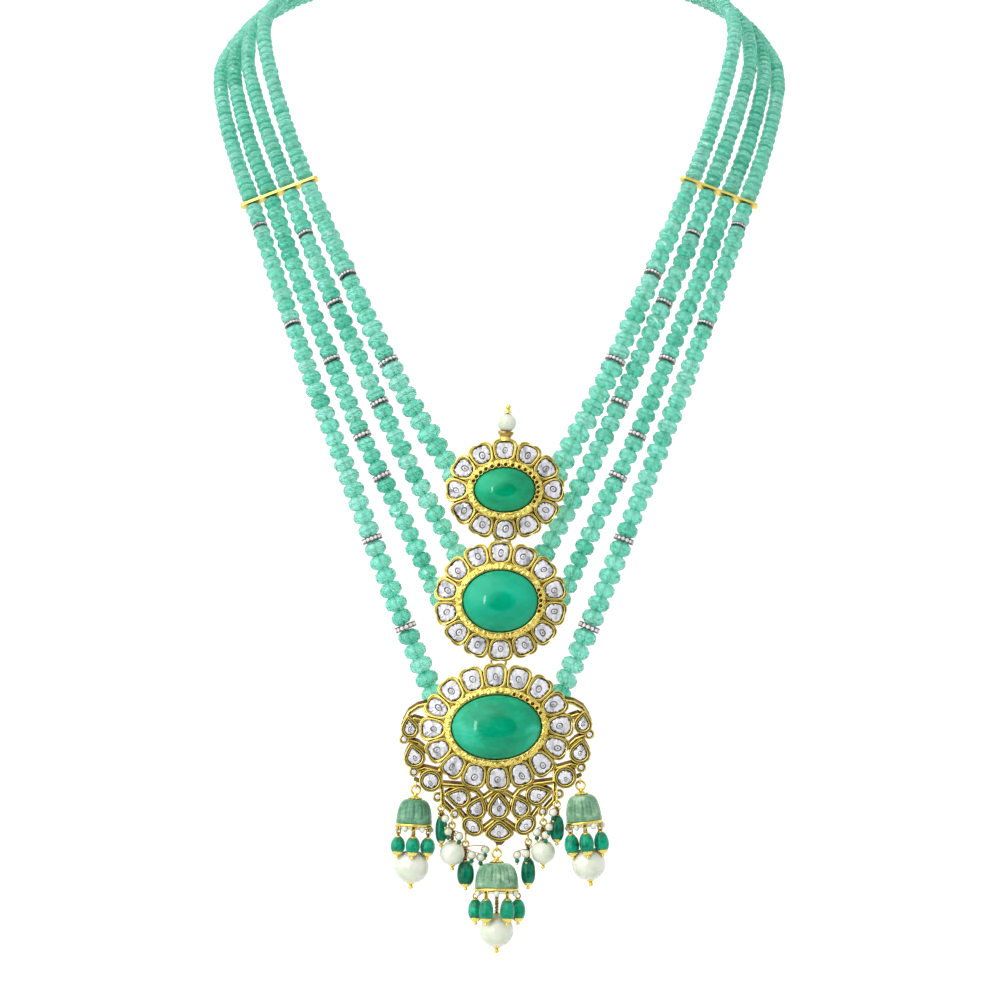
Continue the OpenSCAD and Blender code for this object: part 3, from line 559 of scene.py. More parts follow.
def petalPlaces(m):
    # outer edge, stone's edge, middle and place of every petal's setting
    half, wall = pi / m["petals"], setting["wall"]
    for i in range(m["petals"]):
        angle = radians(90 + 360 * i / m["petals"])
        foot = ovalPoint(m, angle, 0)
        out = ovalPoint(m, angle, 1) - foot
        length = m["reach"]
        inner, outer = [(ovalPoint(m, angle + half, r) - ovalPoint(m, angle - half, r)).length - 0.2
                        for r in (0, 0.8 * length)]
        place = (faceMatrix(m) @ shift(foot.x, foot.y, setting["plate"] - 0.3)
                 @ Matrix.Rotation(atan2(out.y, out.x) - pi / 2, 4, "Z")
                 @ Matrix.Rotation(-radians(setting["lean"]), 4, "X"))
        dip = 0.55 + 0.2 * vary(i, 5)
        lobe = [(inner / 2, -0.6), (outer / 2, 0.7 * length), (0.44 * outer, 0.88 * length),
                (0.3 * outer, 0.98 * length), (0.13 * outer, length)]
        edge = lobe + [(0, length - dip)] + [(-x, y) for x, y in reversed(lobe)]
        a, b = inner / 2 - wall - 0.12, (outer / 2 - wall - 0.26) * (1 + 0.04 * vary(i, 3))
        low, high = wall - 0.26, length - wall - 0.22
        tip = high + 0.1 * vary(i, 4)
        stone = [(-a, low), (a, low), (b, along(low, high, 0.55)), (0.94 * b, along(low, high, 0.87)),
                 (0.5 * b, high), (-0.4 * b, tip), (-0.9 * b, along(low, high, 0.89)),
                 (-b, along(low, high, 0.5))]
        yield (roundedOutline(grownOutline(edge, 0.06)), roundedOutline(stone, 1),
               Vector((0, (low + high) / 2)), place @ shift(0, 0, setting["petalTop"]))


def ringAt(place, middle, reaches, z):
    step = 2 * pi / len(reaches)
    return [place @ Vector((middle.x + r * cos(step * k), middle.y + r * sin(step * k), z))
            for k, r in enumerate(reaches)]


def raiseRim(bm, edge, stone, middle, place):
    # rounded gold wall from a setting's outer edge over the crest and down to its stone
    outer, inner = [reachesOf(line, middle, setting["around"]) for line in (edge, stone)]
    rings = [ringAt(place, middle, [r - by for r in outer], z) for by, z in rimOutside]
    valley = []        # shallow hollow between the two crests, deeper where the wall is wide
    for k, (q, r) in enumerate(zip(outer, inner)):
        half, turn = (q + r + 0.08) / 2, 2 * pi * k / len(outer)
        depth = 0.5 - min(0.3, max(0.0, 0.4 * (q - r - 0.62)))
        valley.append(place @ Vector((middle.x + half * cos(turn), middle.y + half * sin(turn), depth)))
    rings.append(valley)
    for by, z in rimInside:
        rings.append(ringAt(place, middle, [min(q - 0.3, r + by) for q, r in zip(outer, inner)], z))
    loft(bm, rings, [0] * len(rings), place.to_3x3().col[2])


polkiCut = {"corners": 28, "foil": 0.19, "foilEdge": 0.05, "crown": 0.26, "ragged": 0.34, "table": 0.4,
            "oval": (0.9, 1.2), "dark": 0.1, "grey": 0.5}


def setPolki(bm, stone, middle, place, oval, low):
    # foil seat, slanting crown, uneven table and the small sunk facet that shows near its middle
    reaches = reachesOf(stone, middle, polkiCut["corners"])
    count, size = len(reaches), sum(reaches) / len(reaches)
    ragged = [rng.uniform(0.75, 1.35) for r in reaches]
    rings = [ringAt(place, middle, reaches, -0.42)]
    for foil, z in ((polkiCut["foil"], 0.02), (polkiCut["foil"] + polkiCut["foilEdge"], 0.14)):
        rings.append(ringAt(place, middle, [r - foil * k for r, k in zip(reaches, ragged)], z))
    table = []
    for i, (r, k) in enumerate(zip(reaches, ragged)):
        far, turn = r - polkiCut["crown"] - polkiCut["ragged"] * k, 2 * pi * i / count
        high = polkiCut["table"] * rng.uniform(0.72, 1.05)
        table.append(place @ Vector((middle.x + far * cos(turn), middle.y + far * sin(turn), high)))
    rings.append(table)
    spot = middle + Vector((rng.uniform(-0.1, 0.1) * size, (low + rng.uniform(-0.1, 0.1)) * size))
    turn, a, b = rng.uniform(-0.5, 0.5), oval[0] * rng.uniform(0.85, 1.1), oval[1] * rng.uniform(0.85, 1.1)
    for share, z in ((1.0, polkiCut["table"]), (0.74, 0.28), (0.6, 0.26), (0.3, 0.34)):
        rings.append([place @ Vector((spot.x + share * (a * cos(t) * cos(turn) - b * sin(t) * sin(turn)),
                                      spot.y + share * (a * cos(t) * sin(turn) + b * sin(t) * cos(turn)), z))
                      for t in [2 * pi * i / count for i in range(count)]])
    bands = loft(bm, rings, [1, 1, 0, 0, 1, 2, 0], place.to_3x3().col[2], False, True)
    for face in bands[7]:
        face.material_index = 2
    for face in bands[2]:
        luck = rng.random()
        face.material_index = 1 if luck < polkiCut["dark"] else 2 if luck < polkiCut["grey"] else 0


def ovalSpin(bm, profile, a, b, steps, base=20):
    # turns a profile of offset and height round a circle and pulls the circle to an oval
    corners = [bm.verts.new((base + off, 0, z)) for off, z in profile]
    edges = [bm.edges.new(pair) for pair in zip(corners, corners[1:])]
    bmesh.ops.spin(bm, geom=corners + edges, cent=(0, 0, 0), axis=(0, 0, 1), angle=2 * pi,
                   steps=steps, use_merge=True)
    for v in bm.verts:
        angle, off = atan2(v.co.y, v.co.x), hypot(v.co.x, v.co.y) - base
        v.co = ((a + off) * cos(angle), (b + off) * sin(angle), v.co.z)


collet = {"profile": [(2.3, 2.4), (2.3, 3.7), (2.22, 4.08), (2.06, 4.3), (1.85, 4.48), (1.62, 4.62),
                      (1.38, 4.74), (1.14, 4.84), (0.9, 4.92), (0.68, 4.97), (0.48, 4.98), (0.32, 4.92),
                      (0.2, 4.76), (0.12, 4.5), (0.08, 4.1)],
          "steps": 300, "cell": 0.8, "dent": 0.8, "tooth": 0.07, "pitStep": 1.75, "pit": 0.6, "pitTop": 4.96}
bm = bmesh.new()
pitRing = ringMesh("pitRing", 0.66, 0.3, 20, 8)
# each pit has a gold ring and a floor under it; the floor's near-black gold is painted shade of the hole
pitFloor = turnedMesh("pitFloor", [(0, -0.3), (0.6, -0.14), (0.62, -0.5), (0, -0.5)], 20)
for m in medallions.values():
    ring = bmesh.new()
    ovalSpin(ring, collet["profile"], m["wide"], m["high"], collet["steps"])
    first, last = m["pits"]
    count = int(radians(last - first) * (m["wide"] + m["high"] + 1.8) / 2 / collet["pitStep"])
    pits = [ovalPoint(m, radians(along(first, last, (k + 0.5) / count)), -1.0) for k in range(count)]
    for v in ring.verts:
        angle = atan2(v.co.y / m["high"], v.co.x / m["wide"])
        # dents fade out down the outer side and towards the stone
        far = (hypot(v.co.x / (m["wide"] + 2.3), v.co.y / (m["high"] + 2.3)) - 1) * m["high"]
        slope = min(1.0, max(0.0, (v.co.z - 3.3) / 0.6)) * min(1.0, max(0.1, 2 * far + 2.8))
        away = Vector((cos(angle), sin(angle), 0.9)).normalized()
        near = noise.voronoi(v.co * collet["cell"])[0]
        dent = min(0.5, near[1] - near[0]) - 0.36
        v.co -= away * slope * (collet["dent"] * dent + collet["tooth"] * cos(m["teeth"] * angle))
        if v.co.z > 4.4 and min([(v.co.xy - at).length for at in pits]) < collet["pit"]:
            v.co.z = 4.5
    bmesh.ops.smooth_vert(ring, verts=ring.verts, factor=0.25, use_axis_x=True, use_axis_y=True,
                          use_axis_z=True)
    bmesh.ops.transform(ring, matrix=faceMatrix(m), verts=ring.verts)
    stampMesh(bm, templateMesh("collet", ring), Matrix.Identity(4), 0)
    for at in pits:
        seat = faceMatrix(m) @ shift(at.x, at.y, collet["pitTop"])
        stampMesh(bm, pitRing, seat, 0)
        stampMesh(bm, pitFloor, seat, 1)
finishPiece("hammered_collets", bm, [hammeredGold, paintedPitShadeGold], "necklace", recalc=False)

bm = bmesh.new()
for m in medallions.values():
    for edge, stone, middle, place in petalPlaces(m):
        raiseRim(bm, edge, stone, middle, place)
finishPiece("petal_rims", bm, [polishedGold], "necklace", True, recalc=False)

polkiFinishes = [uncutDiamond, darkFoil, greyFoil]
for title, m in medallions.items():
    bm = bmesh.new()
    for edge, stone, middle, place in petalPlaces(m):
        setPolki(bm, stone, middle, place, polkiCut["oval"], m["low"] * (place.to_3x3().col[1].z < -0.2))
    stones = finishPiece(title + "_uncut_stones", bm, polkiFinishes, "necklace", recalc=False)
    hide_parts(title + "_polki")

cabochonStones = {"top": topStone, "middle": middleStone, "bottom": bottomStone}
cabochonCut = {"around": 96, "rows": 48, "skirt": 0.45, "uneven": 0.006}
for title, m in medallions.items():
    bm = bmesh.new()
    bmesh.ops.create_uvsphere(bm, u_segments=cabochonCut["around"], v_segments=cabochonCut["rows"], radius=1)
    geom = bm.verts[:] + bm.edges[:] + bm.faces[:]
    bmesh.ops.bisect_plane(bm, geom=geom, plane_co=(0, 0, 0), plane_no=(0, 0, -1), clear_outer=True)
    rim = [e for e in bm.edges if e.is_boundary]
    skirt = bmesh.ops.extrude_edge_only(bm, edges=rim)["geom"]
    below = [g for g in skirt if isinstance(g, bmesh.types.BMVert)]
    bmesh.ops.translate(bm, vec=(0, 0, -cabochonCut["skirt"]), verts=below)
    bmesh.ops.holes_fill(bm, edges=[e for e in bm.edges if e.is_boundary])
    for v in bm.verts:        # natural stones are never quite even
        v.co *= 1 + cabochonCut["uneven"] * noise.noise(v.co * 1.7)
    lift = shift(0, 0, setting["plate"] + setting["girdle"])
    size = Matrix.Diagonal((m["wide"], m["high"], m["rise"], 1))
    bmesh.ops.transform(bm, matrix=faceMatrix(m) @ lift @ size, verts=bm.verts)
    cabochon = finishPiece(title + "_smooth_cabochon", bm, [cabochonStones[title]], "necklace",
                           True)
    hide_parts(title + "_cabochon")

# crescent under the lowest medallion

crescent = {
    "pears": [(26, 0.6, 3.7, 4.8, -8), (24.9, -8, 4.7, 5.5, -12), (12.1, -20.7, 4.5, 6, -76),
              (6.5, -24.2, 4.4, 5.2, 24)],
    "rounds": [(20.2, -15.6, 4.8, 4.6, 20), (8, -29.6, 3.4, 4.9, -52)],
    "accents": [(27.8, -2.9), (25.1, -12.8), (18.2, -20.5), (13.2, -25.7)],
    "bars": [(20.2, 7.3, 23.2, 6.7), (23.2, 6.7, 25.8, 5.1), (25.8, 5.1, 27.4, 2.4), (20.8, 1.8, 24.6, 3),
             (20.8, -7, 23.8, -4.4), (23.8, -4.4, 27.8, -2.9), (17.4, -13.2, 22, -12), (22, -12, 25.1, -12.8),
             (17.2, -12.4, 16.9, -18), (16.9, -18, 16.7, -22.4), (16.7, -22.4, 13.6, -25.6),
             (16.9, -17, 10.4, -17.6), (10.4, -17.6, 6.6, -19.2), (6.6, -19.2, 4.5, -21.6),
             (4.5, -21.6, 0.6, -19), (4.5, -21.6, 3.4, -24.6), (0, -27.3, 5.4, -31.2), (5.6, -27, 5.4, -31.2),
             (5.4, -31.2, 8, -32), (12.4, -24.4, 10.2, -27.2)],
    "middlePear": (0, -23.9, 5, 6.4), "shield": (0, -31.2), "wall": 1.1, "cellTop": 3.2, "barTop": 2.6,
    "barWide": 1.34, "accentWide": 3, "accentStone": 1.9, "oval": (0.62, 0.84), "low": -0.22, "slant": 0.95}
barSteps = [(0.05, 0.22), (0.12, 0.16), (0.16, 0.08), (0.14, 0.02)]


def pearOutline(wide, high):
    return [(0, high / 2), (0, high / 2), (-0.26 * wide, 0.24 * high), (-0.47 * wide, -0.04 * high),
            (-0.44 * wide, -0.28 * high), (-0.2 * wide, -0.47 * high), (0.2 * wide, -0.47 * high),
            (0.44 * wide, -0.28 * high), (0.47 * wide, -0.04 * high), (0.26 * wide, 0.24 * high)]


def ovalOutline(wide, high, count=16):
    return [(wide / 2 * cos(2 * pi * i / count), high / 2 * sin(2 * pi * i / count)) for i in range(count)]


def placedOutline(outline, x, y, angle, side):
    c, s = cos(radians(angle)), sin(radians(angle))
    points = [(px * c - py * s + x, px * s + py * c + y) for px, py in outline]
    return points if side > 0 else [(-px, py) for px, py in reversed(points)]


def crescentCells():
    # outer edge, stone's edge and middle of every setting
    half = [(-1.7, 1), (-3.3, -0.7), (-2, -1.7), (-0.7, -2.1)]
    shield = [(0, 2.4)] + half + [(-x, y) for x, y in reversed(half)]
    cells = []
    for kind, outlineOf in (("pears", pearOutline), ("rounds", ovalOutline)):
        for side in (-1, 1):
            cells += [(outlineOf(w, h), x, y, lean, side) for x, y, w, h, lean in crescent[kind]]
    x, y, w, h = crescent["middlePear"]
    cells += [(pearOutline(w, h), x, y, 0, 1), (shield, *crescent["shield"], 0, 1)]
    for outline, x, y, lean, side in cells:
        edge = roundedOutline(grownOutline(outline, crescent["wall"]))
        yield [placedOutline(line, x, y, lean, side) for line in (edge, roundedOutline(outline, 1))] + [
            Vector((side * x, y))]


def barOutline(x0, y0, x1, y1, wide):
    lean, length = atan2(y1 - y0, x1 - x0), hypot(x1 - x0, y1 - y0)
    ends = [(length + wide / 2 * cos(pi * k / 6), wide / 2 * sin(pi * k / 6)) for k in range(-3, 4)]
    ends += [(-wide / 2 * cos(pi * k / 6), -wide / 2 * sin(pi * k / 6)) for k in range(-3, 4)]
    return [(x0 + px * cos(lean) - py * sin(lean), y0 + px * sin(lean) + py * cos(lean)) for px, py in ends]


pendantFace = faceMatrix(medallions["bottom"])
cellFace = pendantFace @ shift(0, 0, crescent["cellTop"])
bm = bmesh.new()
for edge, stone, middle in crescentCells():
    raiseRim(bm, edge, stone, middle, cellFace)
for side in (-1, 1):
    for x0, y0, x1, y1 in crescent["bars"]:
        outline = barOutline(side * x0, y0, side * x1, y1, crescent["barWide"])
        face = outlineFace(bm, outline, pendantFace @ shift(0, 0, crescent["barTop"] - 0.06))
        insetSteps(bm, face, barSteps)
        face.smooth = True
    for x, y in crescent["accents"]:
        wide = crescent["accentWide"]
        outline = placedOutline(ovalOutline(wide, wide, 24), x, y, 0, side)
        face = outlineFace(bm, outline, pendantFace @ shift(0, 0, crescent["barTop"] + 0.1))
        insetSteps(bm, face, [(0.05, 0.3), (0.14, 0.18), (0.16, 0.04), (0.14, -0.12), (0.06, -0.25)])
finishPiece("crescent_rims", bm, [polishedGold], "necklace", True, recalc=False)

# the gold bars are deep and lean up towards the back, so their upper sides show in the openings; their
# near-black brown gold is painted shade
bm = bmesh.new()
outlines = [(edge, middle, 3.0) for edge, stone, middle in crescentCells()]
for side in (-1, 1):
    for x0, y0, x1, y1 in crescent["bars"]:
        outline = barOutline(side * x0, y0, side * x1, y1, crescent["barWide"] - 0.1)
        outlines.append((outline, Vector((side * (x0 + x1) / 2, (y0 + y1) / 2)), 2.4))
for outline, middle, top in outlines:
    slim = [middle + (Vector(p) - middle) * 0.97 for p in outline]
    face = outlineFace(bm, slim, pendantFace @ shift(0, 0, top))
    front = bmesh.ops.extrude_face_region(bm, geom=[face])["geom"]
    shove = pendantFace.to_3x3() @ Vector((0, crescent["slant"], 0.45 - top))
    bmesh.ops.translate(bm, vec=shove, verts=[g for g in front if isinstance(g, bmesh.types.BMVert)])
finishPiece("crescent_side_walls", bm, [paintedShadeWallGold], "necklace")

bm = bmesh.new()
for edge, stone, middle in crescentCells():
    setPolki(bm, stone, middle, cellFace, crescent["oval"], crescent["low"])
for side in (-1, 1):
    for x, y in crescent["accents"]:
        wide = crescent["accentStone"]
        outline = placedOutline(ovalOutline(wide, wide, 10), x, y, 0, side)
        face = outlineFace(bm, outline, pendantFace @ shift(0, 0, crescent["barTop"] + 0.26))
        insetSteps(bm, face, [(0.08, 0)], 1)
        insetSteps(bm, face, [(0.04, 0.14), (0.3, 0.2), (0.2, 0.08)], 0)
crescentStones = finishPiece("crescent_uncut_stones", bm, polkiFinishes, "necklace", recalc=False)
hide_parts("crescent_polki")

# bead strings: faceted emerald rondelles on silk, with diamond rondelles between the runs

strings = {"ratio": 0.6, "first": 5.6, "neck": 4.6, "neckLong": 2.8, "clear": 0.05, "lean": 5, "thread": 0.25,
           "spacerIn": (58.4, -44, -46.9), "spacerOut": (75.1, -41, -53.1), "below": 0.8, "above": 1.2,
           "end": 0.4, "light": (0.38, 1.0, 0.82), "middle": (0.26, 0.95, 0.74), "dark": (0.11, 0.74, 0.53)}
rondelle = {"rim": 0.11, "stone": 0.3, "long": (1.1, 1.8), "narrow": 0.82}
strands = {
    "a": {"runs": (9, 7, 9), "endWide": 7.6, "holder": "top", "shade": 0.25, "place": 0,
          "front": [(50.6, -54.6, -65), (40.6, -65, -87.7), (28.7, -71.6, -112.6), (14, strandY, -137.7)],
          "neck": [(3, 61, 24), (24, 58, 23.6), (45, 48, 21.5), (62, 33, 16.5), (70.6, 15, 8.6),
                   (72.4, -4, 0), (70.1, -17, -12.1), (64.6, -33, -30.5)]},
    "b": {"runs": (4, 6, 8, 12), "endWide": 6.8, "holder": "middle", "shade": 0.5, "place": 1,
          "front": [(55.8, -54, -70.1), (44.7, -64.5, -95.2), (34.4, -70.8, -118), (25.6, -74.4, -136.2),
                    (11.9, strandY, -161.7)],
          "neck": [(3, 66, 23.4), (26, 62.5, 22.8), (49, 51.5, 20), (67, 34.5, 12), (75.6, 16, 3.5),
                   (77.3, -1, -6), (76.2, -12, -14), (71, -29.5, -30.5)]},
    "c": {"runs": (15, 6, 3, 10), "endWide": 6.5, "holder": "middle", "shade": 0.7, "place": 2,
          "front": [(61.6, -54, -73.8), (52.1, -63.8, -97.3), (41.3, -71, -124.2), (30.2, -74.8, -147),
                    (17.4, strandY, -175.2)],
          "neck": [(3, 71, 22.8), (28, 67, 22), (53, 55, 18), (71, 36.5, 9), (79.6, 17, -0.6),
                   (81.6, 0, -10.4), (79.8, -15, -21.4), (75.2, -30, -37)]},
    "d": {"runs": (2, 9, 17, 6, 5), "endWide": 7.3, "holder": "bottom", "shade": 0.45, "place": 3,
          "front": [(65.8, -55, -80.5), (56.6, -65, -106.3), (47, -71.4, -131.1), (37.4, -74.8, -156.3),
                    (28.9, strandY, -178.4), (18.1, strandY, -203.9)],
          "neck": [(3, 76, 22.2), (30, 71.5, 21.2), (57, 58.5, 16), (75, 39, 6), (83.6, 18.5, -5),
                   (85.8, 1.5, -13.4), (84.3, -14, -24.6), (80.3, -28, -39)]}}


def smoothRoute(points, parts=10):
    route = []
    for i in range(len(points) - 1):
        a, b, c, d = [points[min(max(k, 0), len(points) - 1)] for k in (i - 1, i, i + 1, i + 2)]
        for t in [j / parts for j in range(parts)]:
            route.append(0.5 * (2 * b + (c - a) * t + (2 * a - 5 * b + 4 * c - d) * t * t
                                + (3 * b - a - 3 * c + d) * t ** 3))
    return route + [points[-1]]


def lengthsOf(route):
    sums = [0.0]
    for p, q in zip(route, route[1:]):
        sums.append(sums[-1] + (q - p).length)
    return sums


def pointOn(route, sums, s):
    # place and heading at a distance along a route
    i = 1
    while i < len(route) - 1 and sums[i] < s:
        i += 1
    p, q = route[i - 1], route[i]
    return p + (q - p) * ((s - sums[i - 1]) / (sums[i] - sums[i - 1])), (q - p).normalized()


def evenRoute(route, steps, start=0.0, left=0.0):
    sums = lengthsOf(route)
    return [pointOn(route, sums, along(start, sums[-1] - left, i / steps))[0] for i in range(steps + 1)]


def headed(at, way, upright=Vector((0, 1, 0.3))):
    # frame at a point with its Z along a heading
    side = upright.cross(way).normalized()
    turn = Matrix((side, way.cross(side), way)).transposed().to_4x4()
    return shift(*at) @ turn


def tubeAlong(bm, points, radius, sides=8, finish=0, upright=Vector((0, 1, 0.3))):
    # round wire through points, closed at both ends
    pairs = zip(points[:1] + points, points[1:] + points[-1:])
    ways = [(after - before).normalized() for before, after in pairs]
    frames = [headed(p, w, upright) for p, w in zip(points, ways)]
    facesBefore = len(bm.faces)
    corners = bmesh.ops.create_circle(bm, segments=sides, radius=radius, matrix=frames[0])["verts"]
    edges = list({e for v in corners for e in v.link_edges})
    ends = edges[:]
    for before, after in zip(frames, frames[1:]):
        geom = bmesh.ops.extrude_edge_only(bm, edges=edges)["geom"]
        corners = [g for g in geom if isinstance(g, bmesh.types.BMVert)]
        edges = [g for g in geom if isinstance(g, bmesh.types.BMEdge) and all(v in corners for v in g.verts)]
        bmesh.ops.transform(bm, matrix=after @ before.inverted(), verts=corners)
    bmesh.ops.holes_fill(bm, edges=ends + edges)
    bm.faces.ensure_lookup_table()
    for face in bm.faces[facesBefore:]:
        face.material_index = finish
        face.smooth = len(face.verts) == 4


def beadMesh():
    # twelve-sided rondelle one wide and one long, its middle corners half a step round
    rows = [(-0.42, 0), (-0.5, 0.5), (-0.3, 0.89), (0, 1), (0.3, 0.89), (0.5, 0.5), (0.42, 0)]
    bm = bmesh.new()
    bm.verts.layers.float_color.new("tone")
    bmesh.ops.create_uvsphere(bm, u_segments=12, v_segments=6, radius=0.5)
    levels = sorted({round(v.co.z, 4) for v in bm.verts})
    for v in bm.verts:
        row = levels.index(round(v.co.z, 4))
        height, reach = rows[row]
        angle = atan2(v.co.y, v.co.x) + (row % 2) * pi / 12
        v.co = (reach / 2 * cos(angle), reach / 2 * sin(angle), height)
    return templateMesh("facetedBead", bm)


facetedBead = beadMesh()


def stringBeads(bm, route, beads, start, room, shade):
    # beads of a length and width in order along a route; rondelles are left to the caller
    sums = lengthsOf(route)
    stretch = (room - start) / sum(length for kind, length, width in beads)
    s, places = start, []
    for kind, length, width in beads:
        half = stretch * length / 2
        at, way = pointOn(route, sums, s + half)
        s += 2 * half
        if kind == "rondelle":
            places.append((headed(at, way), 2 * half, width))
            continue
        lean = Matrix.Rotation(radians(rng.gauss(0, strings["lean"])), 4, rng.choice("XY"))
        spin = Matrix.Rotation(rng.uniform(0, pi), 4, "Z")
        wide = width * rng.uniform(0.94, 1.04)
        size = Matrix.Diagonal((wide, wide * rng.uniform(0.96, 1.02), 2 * half - strings["clear"], 1))
        corners = stampMesh(bm, facetedBead, headed(at, way) @ lean @ spin @ size)
        deep = min(1.0, max(0.0, rng.gauss(shade, 0.28)))
        first, second = ("light", "middle") if deep < 0.5 else ("middle", "dark")
        colour = [along(a, b, deep * 2 % 1) for a, b in zip(strings[first], strings[second])]
        tone = bm.verts.layers.float_color["tone"]
        for v in corners:
            v[tone] = (*colour, 1)
    return places


def beadsOf(strand):
    runs, count = strand["runs"], sum(strand["runs"]) - 1
    i, beads = 0, []
    for r, run in enumerate(runs):
        for k in range(run):
            wide = along(strings["first"], strand["endWide"], i / count)
            beads.append(("bead", strings["ratio"] * wide, wide * (1 + 0.03 * vary(i, 1))))
            i += 1
        if r < len(runs) - 1:
            t = (i - 1) / count
            wide = along(strings["first"], strand["endWide"], t)
            beads.append(("rondelle", along(*rondelle["long"], t), wide * along(rondelle["narrow"], 1, t)))
    return beads


def addRondelle(bm, matrix, length, wide):
    # dark metal rims on both sides of a ring of small round diamonds
    half, r = length / 2 - 0.06, wide / 2
    edge = rondelle["rim"]
    side = [(0.5, -half), (r - 0.42, -half), (r - 0.1, -half + 0.04), (r, -half + edge),
            (r - 0.08, -half + edge * 1.7), (r - 0.26, -half + edge * 2)]
    profile = side + [(x, -z) for x, z in reversed(side)]
    stampMesh(bm, turnedMesh("rondelleRims", profile, 28, looped=True), matrix, 0)
    across = (2 * half - 2.4 * edge) * 0.98
    count = int(2 * pi * (r - 0.1) / (across * 1.02))
    for k in range(count):
        turn = Matrix.Rotation(2 * pi * k / count, 4, "Z") @ shift(r - 0.22, 0, 0)
        size = Matrix.Diagonal((rondelle["stone"], across / 2, across / 2, 1))
        facesBefore = len(bm.faces)
        bmesh.ops.create_icosphere(bm, subdivisions=1, radius=1, matrix=matrix @ turn @ size)
        bm.faces.ensure_lookup_table()
        for face in bm.faces[facesBefore:]:
            face.material_index = 1


for side, sign in (("left", -1), ("right", 1)):
    for letter, strand in strands.items():
        spacer = zip(strings["spacerIn"], strings["spacerOut"])
        gate = Vector([along(a, b, strand["place"] / 3) for a, b in spacer])
        offset = medallions[strand["holder"]]["x"]
        marks = [gate] + [Vector(p) for p in strand["front"]]
        last = len(marks) - 1
        marks = [Vector((sign * p.x + offset * (i / last) ** 2, p.y, p.z)) for i, p in enumerate(marks)]
        # strand a keeps to the nine straight stretches of its thread in the source
        route = evenRoute(smoothRoute(marks), 9 if letter == "a" else 60)
        bm = bmesh.new()
        bm.verts.layers.float_color.new("tone")
        room = lengthsOf(route)[-1] - strings["end"]
        places = stringBeads(bm, route, beadsOf(strand), strings["below"], room, strand["shade"])
        node = f"{side}_strand_{letter}"
        if letter != "a":
            tubeAlong(bm, evenRoute(route, 60, 0.5, 0), strings["thread"], 6, 1)
        string = finishPiece(node + "_string", bm, [mintEmerald, paleSilk], "necklace")
        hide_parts(node + "_beads" if letter == "a" else node)
        bm = bmesh.new()
        for matrix, length, width in places:
            addRondelle(bm, matrix, length, width)
        diamondRings = finishPiece(node + "_rondelles", bm, [blackSilver, cutDiamond], "necklace")
        if letter == "a":
            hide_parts(side + "_rondelles")

        marks = [Vector((sign * x, y, z)) for x, y, z in strand["neck"] + [tuple(gate)]]
        route = evenRoute(smoothRoute(marks), 90, 2, strings["above"])
        room = lengthsOf(route)[-1]
        count = round(room / strings["neckLong"])
        beads = []
        for i in range(count):
            wide = along(strings["neck"], strings["first"], ((i + 0.5) / count) ** 6)
            beads.append(("bead", rng.uniform(0.88, 1.12), wide))
        bm = bmesh.new()
        bm.verts.layers.float_color.new("tone")
        stringBeads(bm, route, beads, 0, room, strand["shade"] - 0.2)
        tubeAlong(bm, route, strings["thread"], 6, 1)
        string = finishPiece(f"{side}_neck_{letter}_string", bm, [mintEmerald, paleSilk], "necklace")
        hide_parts(f"{side}_neck_{letter}")

# bells: carved domes, rims with links, emerald drops, seed pearls and large pearls

bells = {
    "left": {"lug": (-24.6, -16.5), "lean": -3, "wide": 5.4, "high": 7.4, "circle": 5.15, "first": 30,
             "longer": 0, "lobes": 12, "stone": domeStone},
    "centre": {"lug": (-0.9, -36.2), "lean": 0, "wide": 6.6, "high": 7.5, "circle": 6.4, "first": 0,
               "longer": 1.2, "lobes": 14, "stone": paleDome},
    "right": {"lug": (24.6, -16.5), "lean": 6, "wide": 5.4, "high": 8, "circle": 5.15, "first": 30,
              "longer": 1, "lobes": 12, "stone": paleDome}}
bellParts = {"top": -4.5, "ring": 1.3, "wire": 0.7, "dropWide": 4.4, "dropLong": 5, "dropFall": 6.6,
             "pearlFall": 12.8, "pearl": 10.2, "seed": 0.9, "seedFall": 1.6, "groove": 0.08, "melon": 0.07,
             "fullness": 0.45, "wireFall": 1.55, "wrapsFrom": 0.6, "wrapsTo": 7.2}


def bellFrame(bell):
    x, z = bell["lug"]
    m, turn = medallions["bottom"], radians(medallions["bottom"]["turn"])
    hang = shift(m["x"] + x * cos(turn) - z * sin(turn), faceY - 1.6, m["z"] + x * sin(turn) + z * cos(turn))
    return hang @ Matrix.Rotation(-radians(bell["lean"]), 4, "Y")


def grooved(lobes, depth, core=0.0):
    # pulls corners in between the lobes of a melon or a scalloped cap, outside a plain core
    def carve(co):
        valley = (1 - abs(sin(lobes * atan2(co.y, co.x) / 2))) ** 2.2
        pull = 1 - depth * valley * (hypot(co.x, co.y) > core)
        return Vector((co.x * pull, co.y * pull, co.z))
    return carve


def eggProfile(wide, long, belly=0.08, power=0.75):
    steps = [radians(t) for t in range(-80, 81, 10)]
    wall = [(wide / 2 * cos(t) ** power * (1 - belly * sin(t)), long / 2 * sin(t) / sin(radians(80)))
            for t in steps]
    return [(0, wall[0][1])] + wall + [(0, wall[-1][1])]


def domeMesh(bell):
    high, lobes = bell["high"], bell["lobes"]
    steps = [radians(t) for t in range(0, 90, 3)]
    wall = [(bell["wide"] * cos(t) ** bellParts["fullness"], high * sin(t)) for t in steps]

    def carve(co):
        # tall arched lobes with a vein in each, above a plain band
        angle, up = atan2(co.y, co.x), co.z / high
        valley = (1 - abs(sin(lobes * angle / 2))) ** 3
        vein = (1 - abs(cos(lobes * angle / 2))) ** 3
        fade = min(1.0, max(0.0, (0.96 - up) / 0.25)) * min(1.0, max(0.0, (up - 0.16) / 0.08))
        band = max(0.0, 1 - abs(up - 0.2) / 0.045)
        pull = 1 - bellParts["groove"] * fade * (valley * 1.5 + vein * 0.5 * (0.3 < up < 0.8)) - 0.02 * band
        return Vector((co.x * pull, co.y * pull, co.z))
    return turnedMesh("carvedDome", [(0, 0)] + wall + [(0, high)], 168, carve)


